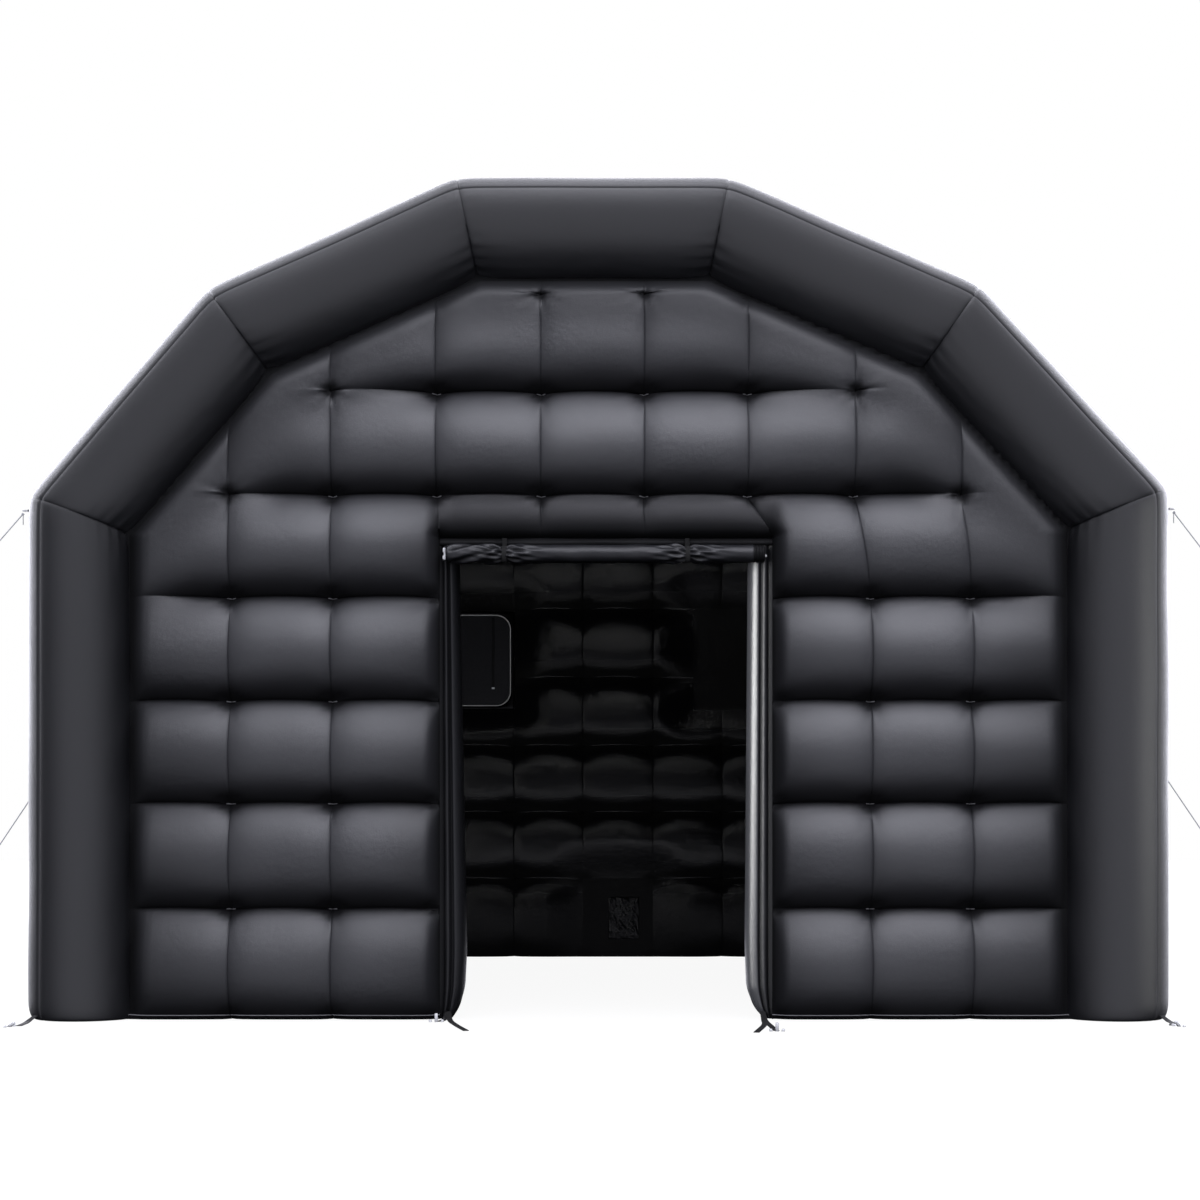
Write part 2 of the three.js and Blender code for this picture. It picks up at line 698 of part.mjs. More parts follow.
function clip() {
  const face = new THREE.Shape();
  const halfDepth = CLIP.depth / 2 - CLIP.round;
  const halfHeight = CLIP.height / 2 - CLIP.round;
  face.moveTo(-halfDepth, -halfHeight);
  face.lineTo(halfDepth, -halfHeight);
  face.lineTo(halfDepth, halfHeight);
  face.lineTo(-halfDepth, halfHeight);
  const geometry = new THREE.ExtrudeGeometry(face, {
    depth: CLIP.width - 2 * CLIP.round,
    bevelEnabled: true,
    bevelThickness: CLIP.round,
    bevelSize: CLIP.round,
    bevelSegments: 1,
  });
  const left = ROLL.left - GAP - CLIP.width + CLIP.round;
  return acrossX(geometry).translate(left, ROLL_Y, ROLL.height);
}

addPiece('door_roll_clip', clip(), WHITE_PLASTIC);

// Back window: a binding that fills its opening, mesh cloth inside it, and a pull strap
const MESH_THICKNESS = 3;
const MESH_PROUD = 8;
const CORNER_STEPS = 4;

function roundedOutline(shape, inset, corner) {
  const left = WINDOW.left + inset;
  const right = WINDOW.right - inset;
  const bottom = WINDOW.bottom + inset;
  const top = WINDOW.top - inset;
  shape.moveTo(left + corner, bottom);
  shape.lineTo(right - corner, bottom);
  shape.absarc(right - corner, bottom + corner, corner, -Math.PI / 2, 0, false);
  shape.absarc(right - corner, top - corner, corner, 0, Math.PI / 2, false);
  shape.absarc(left + corner, top - corner, corner, Math.PI / 2, Math.PI, false);
  shape.absarc(left + corner, bottom + corner, corner, Math.PI, 1.5 * Math.PI, false);
  shape.closePath();
  return shape;
}

// Turns a shape drawn in the XZ plane, and extruded, to be that deep along Y about a plane
function upright(geometry, planeY, depth) {
  return geometry.rotateX(Math.PI / 2).translate(0, planeY + depth / 2, 0);
}

function windowBinding() {
  const outer = new THREE.Shape();
  const inset = GAP + GAP / 2;
  outer.moveTo(WINDOW.left + inset, WINDOW.bottom + inset);
  outer.lineTo(WINDOW.right - inset, WINDOW.bottom + inset);
  outer.lineTo(WINDOW.right - inset, WINDOW.top - inset);
  outer.lineTo(WINDOW.left + inset, WINDOW.top - inset);
  outer.closePath();
  outer.holes.push(roundedOutline(new THREE.Path(), WINDOW.binding, WINDOW.corner));
  const depth = 2 * WINDOW_EDGE_HALF;
  const geometry = new THREE.ExtrudeGeometry(outer, {
    depth,
    bevelEnabled: false,
    curveSegments: CORNER_STEPS,
  });
  return upright(geometry, ARCH_Y, depth);
}

function windowMesh() {
  const shape = roundedOutline(new THREE.Shape(), WINDOW.binding + GAP, WINDOW.corner);
  const geometry = new THREE.ExtrudeGeometry(shape, {
    depth: MESH_THICKNESS,
    bevelEnabled: false,
    curveSegments: CORNER_STEPS,
  });
  return upright(geometry, ARCH_Y - MESH_PROUD, MESH_THICKNESS);
}

addPiece('back_window_binding', windowBinding(), CLOTH);
addPiece('back_window_mesh', windowMesh(), MESH_CLOTH);

const STRAP = { x: -712, top: 2275, bottom: 1800, width: 18, thickness: 2 };

function windowStrap() {
  const height = STRAP.top - STRAP.bottom;
  const front = ARCH_Y - MESH_PROUD - MESH_THICKNESS / 2 - GAP;
  return new THREE.BoxGeometry(STRAP.width, STRAP.thickness, height)
    .translate(STRAP.x, front - STRAP.thickness / 2, STRAP.bottom + height / 2);
}

addPiece('back_window_strap', windowStrap(), WEBBING);

// Creased sleeve patch, in the flat cell at the bottom of the back wall
const PATCH = { left: 62, right: 268, bottom: 118, top: 400, thickness: 6, crease: 7 };
const PATCH_STEPS = 5;
const PATCH_FOLDS = { alongU: 2.1, alongV: 1.3, crossV: 1.7, crossStart: 0.4 };

function sleevePatch() {
  const cells = gridCells(
    gridLines(0, PATCH_STEPS, 1),
    gridLines(0, PATCH_STEPS, 1),
    (u, v) => ({
      p: THREE.MathUtils.lerp(PATCH.left, PATCH.right, u / PATCH_STEPS),
      q: THREE.MathUtils.lerp(PATCH.bottom, PATCH.top, v / PATCH_STEPS),
      u,
      v,
    }),
  );
  const back = ARCH_Y - PANEL_HALF - GAP;
  const creaseAt = ({ u, v }) => PATCH.crease * Math.abs(
    Math.sin(PATCH_FOLDS.alongU * u + PATCH_FOLDS.alongV * v)
    * Math.sin(PATCH_FOLDS.crossV * v + PATCH_FOLDS.crossStart),
  );
  return quiltedBody(
    cells,
    cells,
    (vertex) => new THREE.Vector3(vertex.p, back - PATCH.thickness - creaseAt(vertex), vertex.q),
    (vertex) => new THREE.Vector3(vertex.p, back, vertex.q),
  );
}

addPiece('sleeve_patch', sleevePatch(), CLOTH);

// Guy tabs: a webbing patch on a post with its ring, turned about the post to face away from it
const TAB = { width: 26, height: 46, thickness: 3, loop: 9, bite: 0.5 };
const RING = { radius: 13, wire: 2.5, wireSides: 5, steps: 10 };
const RING_OUT = TAB.thickness + TAB.loop + RING.radius - RING.wire;
const POST_X = ARCH_CORNERS.at(-1).x - TUBE_RADIUS;

const GUYS = [
  { name: 'upper_left', side: -1, turn: 0, height: 2230, end: { x: -2694, y: -2260, z: 2034 } },
  { name: 'upper_right', side: 1, turn: 0, height: 2238, end: { x: 2704, y: -2260, z: 2002 } },
  { name: 'lower_left', side: -1, turn: 40, height: 1100, end: { x: -2748, y: -2080, z: 677 } },
  { name: 'lower_right', side: 1, turn: 40, height: 1188, end: { x: 2762, y: -2080, z: 750 } },
];
const ROPE = { radius: 2.5, halfSides: 4, step: 15, knot: 7, eye: 13, bite: 2 };

function guyTab({ side, turn, height }) {
  const face = TUBE_RADIUS + GAP;
  const patch = new THREE.BoxGeometry(TAB.thickness, TAB.width, TAB.height);
  patch.translate(face + TAB.thickness / 2, 0, 0);
  const loop = new THREE.BoxGeometry(TAB.loop, TAB.width, TAB.loop);
  loop.translate(face + TAB.thickness + TAB.loop / 2 - TAB.bite, 0, 0);
  const ring = new THREE.TorusGeometry(RING.radius, RING.wire, RING.wireSides, RING.steps);
  ring.rotateX(Math.PI / 2).translate(face + RING_OUT, 0, 0);
  const geometry = joined([patch, loop, ring]);
  const facing = side > 0 ? turn : 180 - turn;
  return geometry.rotateZ(THREE.MathUtils.degToRad(facing)).translate(side * POST_X, -ARCH_Y, height);
}

function ringPlace({ side, turn, height }) {
  const out = TUBE_RADIUS + GAP + RING_OUT;
  const angle = THREE.MathUtils.degToRad(turn);
  return new THREE.Vector3(side * (POST_X + out * Math.cos(angle)), -ARCH_Y + out * Math.sin(angle), height);
}

// A taut rope from its ring to a knotted eye
function guyRope(guy) {
  const ring = ringPlace(guy);
  const end = new THREE.Vector3().copy(guy.end);
  const along = end.clone().sub(ring).normalize();
  const start = ring.clone().addScaledVector(along, RING.radius + RING.wire + GAP);
  const section = new THREE.Shape();
  section.absarc(0, 0, ROPE.radius, 0, 2 * Math.PI, false);
  const tube = new THREE.ExtrudeGeometry(section, {
    steps: Math.round(start.distanceTo(end) / ROPE.step),
    curveSegments: ROPE.halfSides,
    extrudePath: new THREE.LineCurve3(start, end),
    bevelEnabled: false,
  });
  const knot = new THREE.SphereGeometry(ROPE.knot, 7, 4).translate(end.x, end.y, end.z);
  const eye = new THREE.TorusGeometry(ROPE.eye, ROPE.radius, 5, 9);
  eye.rotateX(Math.PI / 2);
  const eyePlace = end.clone().addScaledVector(along, ROPE.eye + ROPE.knot - ROPE.bite);
  eye.translate(eyePlace.x, eyePlace.y, eyePlace.z);
  return joined([tube, knot, eye]);
}

for (const guy of GUYS) {
  addPiece(`guy_tab_${guy.name}`, guyTab(guy), WEBBING);
  addPiece(`guy_rope_${guy.name}`, guyRope(guy), ROPE_YARN);
}

// Ground anchors: a webbing strap along the ground from each foot, and the head of its driven peg
const STRAP_WIDTH = 25;
const STRAP_THICKNESS = 3;
const PEG = { across: 33, height: 44, thickness: 14, neckFoot: 5, neckTop: 8, under: 26, below: -20 };
const GROUND_BLOCK = 200;
const ANCHORS = [
  {
    name: 'front_left',
    routes: [[[-2431, -2431, 20], [-2446, -2480, 2], [-2436, -2560, 0], [-2428, -2676, 0]]],
    peg: { x: -2462, y: -2706, turn: 62, lean: 58 },
  },
  {
    name: 'front_right',
    routes: [[[2431, -2431, 20], [2446, -2480, 2], [2440, -2560, 0], [2410, -2652, 0]]],
    peg: { x: 2430, y: -2690, turn: -50, lean: 50 },
  },
  {
    name: 'door_left',
    routes: [
      [[-655, -2349, 30], [-640, -2440, 2], [-600, -2640, 0], [-541, -2883, 0]],
      [[-655, -2349, 30], [-668, -2420, 2], [-692, -2480, 0]],
    ],
    peg: { x: -695, y: -2494, turn: 0, lean: 0 },
  },
  {
    name: 'door_right',
    routes: [
      [[716, -2344, 30], [714, -2440, 2], [698, -2640, 0], [640, -2952, 0]],
      [[716, -2344, 30], [718, -2440, 2], [722, -2700, 0], [727, -2886, 0]],
    ],
    peg: { x: 728, y: -2900, turn: 0, lean: 8 },
  },
  {
    name: 'rear_left',
    routes: [[[-2431, 2431, 20], [-2446, 2480, 2], [-2440, 2660, 0], [-2430, 2920, 0]]],
    peg: { x: -2426, y: 2945, turn: 180, lean: 0 },
  },
  {
    name: 'rear_right',
    routes: [[[2431, 2431, 20], [2446, 2480, 2], [2440, 2660, 0], [2430, 2920, 0]]],
    peg: { x: 2426, y: 2945, turn: 180, lean: 0 },
  },
];

// A flat strip that follows a route, its width level and square to the way it runs
function webbing(route) {
  const places = route.map((place) => new THREE.Vector3(...place));
  return loft(places.map((place, i) => {
    const before = places[Math.max(i - 1, 0)];
    const after = places[Math.min(i + 1, places.length - 1)];
    const run = after.clone().sub(before).setZ(0).normalize();
    const across = new THREE.Vector3(-run.y, run.x, 0).multiplyScalar(STRAP_WIDTH / 2);
    return [[-1, 0], [1, 0], [1, 1], [-1, 1]].map(([side, level]) => (
      place.clone().addScaledVector(across, side).setZ(place.z + level * STRAP_THICKNESS)));
  }));
}

// The arched head of a peg on its neck, cut off level with the ground it is driven into
function pegHead({ x, y, turn, lean }) {
  const face = new THREE.Shape();
  face.moveTo(-PEG.neckFoot, PEG.below);
  face.lineTo(PEG.neckFoot, PEG.below);
  face.lineTo(PEG.neckTop, PEG.under);
  face.quadraticCurveTo(22, PEG.under, 28, 12);
  face.lineTo(PEG.across, 15);
  face.quadraticCurveTo(26, 42, 0, PEG.height);
  face.quadraticCurveTo(-30, 38, -PEG.across, 13);
  face.lineTo(-28, 9);
  face.quadraticCurveTo(-24, PEG.under, -PEG.neckTop, PEG.under);
  face.closePath();
  const head = new THREE.ExtrudeGeometry(face, {
    depth: PEG.thickness,
    curveSegments: 3,
    bevelEnabled: false,
  });
  upright(head, 0, PEG.thickness);
  head.rotateX(THREE.MathUtils.degToRad(lean));
  head.rotateZ(THREE.MathUtils.degToRad(turn));
  head.translate(x, y, 0);
  const ground = new THREE.BoxGeometry(GROUND_BLOCK, GROUND_BLOCK, GROUND_BLOCK);
  ground.translate(x, y, -GROUND_BLOCK / 2);
  return toGeometry(toSolid(head).subtract(toSolid(ground)));
}

for (const { name, routes, peg } of ANCHORS) {
  addPiece(`anchor_strap_${name}`, joined(routes.map(webbing)), WEBBING);
  addPiece(`anchor_peg_${name}`, pegHead(peg), WHITE_PLASTIC);
}

// The tent is moved so that the middle of everything but the ropes is over the origin, on the ground
const box = new THREE.Box3();
const withoutRopes = tent.children.filter(({ name }) => !name.startsWith('guy_rope'));
withoutRopes.forEach((piece) => box.expandByObject(piece));
const middle = box.getCenter(new THREE.Vector3());
tent.position.set(-middle.x, -middle.y, -box.min.z);

export default tent;
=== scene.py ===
"""Black inflatable party tent: its inflated cloth, webbing, ropes and pegs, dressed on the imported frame."""

import math

import bpy
import numpy as np
from bpy.props import FloatProperty, FloatVectorProperty, IntProperty, PointerProperty
from bpy.types import Operator, Panel, PropertyGroup
from mathutils import Matrix, Vector


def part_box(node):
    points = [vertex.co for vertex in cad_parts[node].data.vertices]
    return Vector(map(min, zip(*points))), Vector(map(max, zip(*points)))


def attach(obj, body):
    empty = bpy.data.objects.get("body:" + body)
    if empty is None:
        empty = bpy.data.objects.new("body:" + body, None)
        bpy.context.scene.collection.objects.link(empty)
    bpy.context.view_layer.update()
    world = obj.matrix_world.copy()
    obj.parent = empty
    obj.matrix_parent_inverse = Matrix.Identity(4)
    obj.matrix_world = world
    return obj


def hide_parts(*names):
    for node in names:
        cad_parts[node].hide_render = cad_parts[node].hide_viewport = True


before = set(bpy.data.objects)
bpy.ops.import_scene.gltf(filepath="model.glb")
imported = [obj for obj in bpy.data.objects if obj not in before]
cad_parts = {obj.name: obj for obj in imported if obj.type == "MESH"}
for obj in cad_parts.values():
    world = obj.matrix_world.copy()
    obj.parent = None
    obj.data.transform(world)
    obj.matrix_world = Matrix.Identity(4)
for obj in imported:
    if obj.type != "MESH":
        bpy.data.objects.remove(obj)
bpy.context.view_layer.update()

bl_info = {
    "name": "Inflatable Party Tent",
    "version": (1, 0, 0),
    "blender": (4, 5, 0),
    "location": "View3D > Sidebar > Tent",
    "description": "Adds the arches, quilted walls, doorway, window, ropes and anchors of a party tent",
    "category": "Add Mesh",
}

# The frame: where the arches stand, and how thick their tubes are
FRONT_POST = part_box("front_post_left")
REAR_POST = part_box("rear_post_left")
TUBE_RADIUS = (FRONT_POST[1].y - FRONT_POST[0].y) / 2
FRONT_Y = (FRONT_POST[1].y + FRONT_POST[0].y) / 2
REAR_Y = (REAR_POST[1].y + REAR_POST[0].y) / 2
MIDDLE_Y = (FRONT_Y + REAR_Y) / 2
PANEL_HALF = 0.1
WALL_INSET = 2 * TUBE_RADIUS

# Outer corners of both arches, from the left foot over the crown to the right foot
ARCH_CORNERS = np.array([
    (-2.5, 0.0), (-2.5, 2.282), (-1.716, 3.194), (-0.623, 3.683),
    (0.575, 3.683), (1.676, 3.207), (2.5, 2.313), (2.5, 0.0),
])
ARCH_LENGTHS = (
    "post_left", "haunch_left", "slope_left", "crown", "slope_right", "haunch_right", "post_right",
)

# The doorway between its seams, and the quilting grids of both end walls
DOOR = {"left": -0.691, "right": 0.757, "bottom": 0.0, "top": 2.097}
FRONT_ROWS = (0, 0.479, 0.937, 1.382, 1.831, 2.276, 2.721, 3.135, 3.32)
FRONT_SEAMS = [{"high": high, "low": low, "bend": bend} for high, low, bend in (
    (-2.1, -2.1, 1.831), (-1.599, -1.599, 1.831), (-1.158, -1.158, 1.831),
    (-0.704, DOOR["left"], DOOR["top"]), (-0.25, -0.25, 1.831), (0.198, 0.198, 1.831),
    (0.648, DOOR["right"], DOOR["top"]), (1.11, 1.184, 1.831), (1.568, 1.62, 1.831), (2.1, 2.1, 1.831),
)]
STRAIGHT_ABOVE = 2.276
BACK_ROWS = (0, 0.521, 0.963, 1.408, 1.863, 2.32, 2.77, 3.135, 3.32)
BACK_SEAMS = (-2.1, -1.489, -1.028, -0.567, -0.108, 0.36, 0.822, 1.283, 1.745, 2.1)
WINDOW = {"left": -1.258, "right": -0.567, "bottom": 1.655, "top": 2.32}
WINDOW_EDGE_HALF = 0.026
WINDOW_TAPER = 0.17
BLANK_PANEL = {"left": 0.64, "right": 1.283, "bottom": 1.655, "top": 2.32}
FLAT_CELL = {"left": -0.108, "right": 0.36, "bottom": 0.0, "top": 0.521}
FLAT_FADE = {"outside": 0.09, "inside": 0.25}
SIDE_ROWS = (0, 0.479, 0.937, 1.382, 1.831)
DEPTH_CELLS = 9
ROOF_ROWS = 2


class TentSizes(PropertyGroup):
    """Sizes of the inflated cloth."""

    puff_outside: FloatProperty(
        name="Puff outside", description="Rise of a quilted cell on the outside",
        default=0.12, min=0.0, max=0.2, unit="LENGTH")
    puff_inside: FloatProperty(
        name="Puff inside", description="Rise of a quilted cell on the inside",
        default=0.076, min=0.0, max=0.2, unit="LENGTH")
    seam_angle: FloatProperty(
        name="Seam angle", description="Turn of the arch seams from the outermost line of the tube",
        default=math.radians(51), subtype="ANGLE")
    cell_steps: IntProperty(
        name="Cell steps", description="Faces across one quilted cell", default=20, min=4, max=40)
    edge_fade: FloatProperty(
        name="Edge fade", description="Width over which a puff rises from the edge of its panel",
        default=0.12, min=0.01, unit="LENGTH")
    edge_tuck: FloatProperty(
        name="Edge tuck", description="How far a panel runs on inside the tube that holds it",
        default=0.08, min=0.0, unit="LENGTH")


class TentFinish(PropertyGroup):
    """Colours and gloss of the tent's materials."""

    cloth: FloatVectorProperty(
        name="Cloth", description="Colour of the coated cloth", subtype="COLOR",
        default=(0.0125, 0.0129, 0.015), min=0.0, max=1.0)
    cloth_roughness: FloatProperty(
        name="Cloth roughness", description="Roughness of the cloth outside", default=0.46, min=0, max=1)
    lining: FloatVectorProperty(
        name="Inside", description="Colour of the cloth on the inside", subtype="COLOR",
        default=(0.001, 0.001, 0.0013), min=0.0, max=1.0)
    lining_roughness: FloatProperty(
        name="Inside roughness", description="Roughness of the cloth inside", default=0.13, min=0, max=1)


class TentStudio(PropertyGroup):
    """Camera and light."""

    focal_length: FloatProperty(
        name="Lens", description="Focal length on a 36 mm sensor", default=58.16, min=10)
    eye_height: FloatProperty(
        name="Eye height", description="Height of the camera above the ground", default=0.78, unit="LENGTH")
    eye_distance: FloatProperty(
        name="Eye distance", description="Distance from the middle of the tent", default=10.8, unit="LENGTH")
    picture_rise: FloatProperty(
        name="Picture rise", description="Upward shift of the picture, as a share of its width", default=0.2)
    inner_light: FloatProperty(
        name="Inner light", description="Power of each strip of light inside",
        default=32, min=0, unit="POWER")
    low_light: FloatProperty(
        name="Low light", description="Power of the low light at the left",
        default=800, min=0, unit="POWER")
    side_light: FloatProperty(
        name="Side light", description="Power of the light at the right", default=85, min=0, unit="POWER")
    top_light: FloatProperty(
        name="Top light", description="Power of the soft light over the front", default=1500, unit="POWER")


# Shader maths

class Shade:
    """A node socket that takes part in Python expressions."""

    def __init__(self, tree, socket=None):
        self.tree = tree
        self.socket = socket

    def add(self, kind, settings=None, sockets=None, output=0):
        """Adds a node, its settings first and then the values or links of its sockets."""
        node = self.tree.nodes.new(kind)
        for name, value in (settings or {}).items():
            if name == "stops":
                set_stops(node.color_ramp, value)
            else:
                setattr(node, name, value)
        for key, value in (sockets or {}).items():
            if isinstance(value, Shade):
                self.tree.links.new(value.socket, node.inputs[key])
            else:
                node.inputs[key].default_value = value
        return Shade(self.tree, node.outputs[output] if node.outputs else None)

    def math(self, operation, *values):
        return self.add("ShaderNodeMath", {"operation": operation}, dict(enumerate(values)))

    def __add__(self, other):
        return self.math("ADD", self, other)

    __radd__ = __add__

    def __sub__(self, other):
        return self.math("SUBTRACT", self, other)

    def __rsub__(self, other):
        return self.math("SUBTRACT", other, self)

    def __mul__(self, other):
        return self.math("MULTIPLY", self, other)

    __rmul__ = __mul__

    def __pow__(self, other):
        return self.math("POWER", self, other)

    def mix(self, low, high):
        """A colour that goes from low to high with this value."""
        return self.add(
            "ShaderNodeMix", {"data_type": "RGBA"}, {0: self, 6: low, 7: high}, output=2)

    def split(self, *axes):
        """Some axes of a vector."""
        outputs = self.add("ShaderNodeSeparateXYZ", sockets={"Vector": self}).socket.node.outputs
        return [Shade(self.tree, outputs[axis]) for axis in axes]

    def noise(self, scale, detail, roughness=0.5):
        """Noise at this place."""
        return self.add("ShaderNodeTexNoise", sockets={
            "Vector": self, "Scale": scale, "Detail": detail, "Roughness": roughness})

    def surface(self, base, roughness, gloss=0.5, height=None, strength=0.0):
        """A shader with the relief of a height in metres."""
        sockets = {"Base Color": base, "Roughness": roughness, "Specular IOR Level": gloss}
        if height is not None:
            sockets["Normal"] = self.add(
                "ShaderNodeBump", sockets={"Strength": strength, "Distance": 1.0, "Height": height})
        return self.add("ShaderNodeBsdfPrincipled", sockets=sockets)


def set_stops(ramp, stops):
    """Grey stops of a colour ramp, of which a new one has its first and its last."""
    for place, value in stops:
        stop = {0.0: ramp.elements[0], 1.0: ramp.elements[-1]}.get(place) or ramp.elements.new(place)
        stop.color = (value, value, value, 1)


def new_material(name):
    """An empty material, and the start of its node tree."""
    material = bpy.data.materials.new(name)
    material.use_nodes = True
    material.node_tree.nodes.clear()
    return material, Shade(material.node_tree)


def colour(rgb, share=1.0):
    """A colour at a share of its strength, as a socket takes it."""
    return (*(min(1, c * share) for c in rgb), 1.0)


WEAVE = {"pitch": 0.0016, "depth": 0.00012}
CRINKLE = {"size": 0.036, "depth": 0.004, "roughness": 0.62}


def crossed_threads(across, along, pitch):
    """Waves of two sets of threads that cross, a pitch apart."""
    turn = 2 * math.pi / pitch
    return across.math("SINE", across * turn) * along.math("SINE", along * turn)


def coated_cloth(name, rgb, roughness, crinkle, gloss=0.5, patches=0.0, tone=1.0):
    """Coated woven cloth: a fine weave, faint crinkles and a little unevenness in its gloss, mixed towards a
    dark matte painted shade by each point's crease value.
    """
    material, graph = new_material(name)
    rgb = [c * tone for c in rgb]
    uv = graph.add("ShaderNodeTexCoord", output=2)
    across, along = uv.split(0, 1)
    cloud = uv.noise(2.3, 3.0)
    grain = uv.noise(180.0, 2.0)
    folds = uv.noise(1 / CRINKLE["size"], 4.0, CRINKLE["roughness"])
    lighter = [c * 1.35 + 0.001 for c in rgb]
    base = (cloud * 0.8 + grain * 0.2).mix(colour(rgb, 0.8), colour(lighter))
    rough = cloud * 0.08 + grain * 0.06 + (roughness - 0.07)
    deep = cloud ** 4 * (CRINKLE["depth"] * patches) + CRINKLE["depth"] * crinkle
    height = crossed_threads(across, along, WEAVE["pitch"]) * WEAVE["depth"] + folds * deep
    open_cloth = graph.surface(base, rough, gloss, height, 0.6)
    # Painted shade: a dark matte copy of the cloth, which the mesh's crease attribute mixes in where shade
    # should fall
    painted_shade_surface = graph.surface(colour(rgb, 0.15), 0.9, 0.1)
    crease = graph.add("ShaderNodeAttribute", {"attribute_name": "crease"}, output=2)
    both = graph.add("ShaderNodeMixShader", sockets={0: crease, 1: open_cloth, 2: painted_shade_surface})
    graph.add("ShaderNodeOutputMaterial", sockets={"Surface": both})
    return material


def ribbed_weave(name, rgb, roughness, pitch, depth, spread=0.25, gloss=0.5):
    """Woven yarn: crossing ribs at a pitch, with a little variation from yarn to yarn."""
    material, graph = new_material(name)
    uv = graph.add("ShaderNodeTexCoord", output=2)
    across, along = uv.split(0, 1)
    cloud = uv.noise(60.0, 3.0)
    ribs = crossed_threads(across + along, across - along, pitch)
    base = (cloud * 0.7 + ribs * 0.15 + 0.15).mix(colour(rgb, 1 - spread), colour(rgb, 1 + spread))
    woven = graph.surface(base, cloud * 0.1 + (roughness - 0.05), gloss, ribs * depth, 0.7)
    graph.add("ShaderNodeOutputMaterial", sockets={"Surface": woven})
    return material


def white_plastic(name):
    """Moulded white plastic with a faint orange-peel surface."""
    material, graph = new_material(name)
    place = graph.add("ShaderNodeTexCoord", output=3)
    cloud = place.noise(60.0, 2.0)
    base = cloud.mix(colour((0.74, 0.75, 0.76)), colour((0.86, 0.86, 0.87)))
    peel = place.noise(900.0, 2.0) * 0.0003
    moulded = graph.surface(base, cloud * 0.12 + 0.32, height=peel, strength=0.3)
    graph.add("ShaderNodeOutputMaterial", sockets={"Surface": moulded})
    return material


COATED_CLOTHS = {
    "cloth_outside": {"crinkle": 0.2, "gloss": 0.44, "patches": 4.0},
    "cloth_arch": {"tone": 0.9, "roughness": 0.43, "crinkle": 0.2},
    "cloth_inside": {"crinkle": 1.5, "gloss": 0.095},
    "cloth_gusset": {"tone": 1.3, "roughness": 0.34, "crinkle": 0.08},
    "cloth_flap": {"tone": 0.6, "roughness": 0.3, "crinkle": 0.6, "gloss": 0.19},
    "piping_cloth": {"rgb": (0.16, 0.16, 0.165), "roughness": 0.35, "crinkle": 0.2},
}
WEAVES = {
    "webbing": {
        "rgb": (0.005, 0.005, 0.0055), "roughness": 0.82, "pitch": 0.0034, "depth": 0.0003, "gloss": 0.12},
    "rope_yarn": {"rgb": (0.5, 0.52, 0.55), "roughness": 0.8, "pitch": 0.005, "depth": 0.0006},
    "thread": {"rgb": (0.22, 0.22, 0.23), "roughness": 0.7, "pitch": 0.004, "depth": 0.0003},
    "net_cloth": {
        "rgb": (0.023, 0.023, 0.025), "roughness": 0.7, "pitch": 0.006, "depth": 0.0006, "spread": 0.6},
}


def material_named(name):
    """One of the tent's materials, made when a piece first asks for it."""
    if name in bpy.data.materials:
        return bpy.data.materials[name]
    if name == "white_plastic":
        return white_plastic(name)
    if name in WEAVES:
        return ribbed_weave(name, **WEAVES[name])
    finish = bpy.context.scene.tent_finish
    look = {"rgb": finish.cloth, "roughness": finish.cloth_roughness}
    if name == "cloth_inside":
        look = {"rgb": finish.lining, "roughness": finish.lining_roughness}
    return coated_cloth(name, **{**look, **COATED_CLOTHS[name]})


# Meshes

SHARP_ANGLE = math.radians(55)


def add_mesh(name, points, faces, materials, uv, face_materials=None, crease=None):
    """A smooth mesh object, with each point's place on its cloth and the shade painted on it there."""
    mesh = bpy.data.meshes.new(name)
    mesh.from_pydata(np.asarray(points, float).tolist(), [], faces)
    for material in materials:
        mesh.materials.append(material_named(material))
    mesh.polygons.foreach_set("use_smooth", np.ones(len(mesh.polygons), bool))
    if face_materials is not None:
        mesh.polygons.foreach_set("material_index", np.asarray(face_materials, np.int32))
    corner = np.zeros(len(mesh.loops), np.int32)
    mesh.loops.foreach_get("vertex_index", corner)
    layer = mesh.uv_layers.new(name="cloth")
    layer.data.foreach_set("uv", np.asarray(uv, float)[corner].ravel())
    # The crease attribute holds the painted shade that the cloth shaders mix in
    if crease is not None:
        mesh.attributes.new("crease", "FLOAT", "POINT").data.foreach_set("value", np.ravel(crease))
    mesh.set_sharp_from_angle(angle=SHARP_ANGLE)
    mesh.update()
    piece = bpy.data.objects.new(name, mesh)
    bpy.context.scene.collection.objects.link(piece)
    return piece


def lit_by(name, piece):
    """Puts a piece among those that a light of the stage reaches."""
    bpy.data.collections[name].objects.link(piece)


def finish_padded(piece, nodes):
    """Gives a padded piece its body and the nodes it stands for."""
    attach(piece, "root")
    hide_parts(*nodes)
    return piece


def outward(points, faces):
    """The faces of a closed shape, all turned to face out."""
    points = points - points.mean(axis=0)
    volume = 0.0
    for count in {len(face) for face in faces}:
        chosen = np.array([face for face in faces if len(face) == count])
        for i in range(1, count - 1):
            a, b, c = (points[chosen[:, j]] for j in (0, i, i + 1))
            volume += float(np.einsum("ij,ij->", a, np.cross(b, c)))
    return faces if volume > 0 else [face[::-1] for face in faces]


def ripples(x, z, size, seed, waves=7):
    """Smooth unevenness between about -1 and 1, the same each time for one seed."""
    draw = np.random.default_rng(seed)
    total = np.zeros(np.broadcast(x, z).shape)
    for _ in range(waves):
        turn = draw.uniform(0, 2 * math.pi)
        reach = 2 * math.pi / (size * draw.uniform(0.6, 1.6))
        total = total + np.sin(reach * (x * math.cos(turn) + z * math.sin(turn)) + draw.uniform(0, 6.3))
    return total / math.sqrt(waves)


# Arch tubes

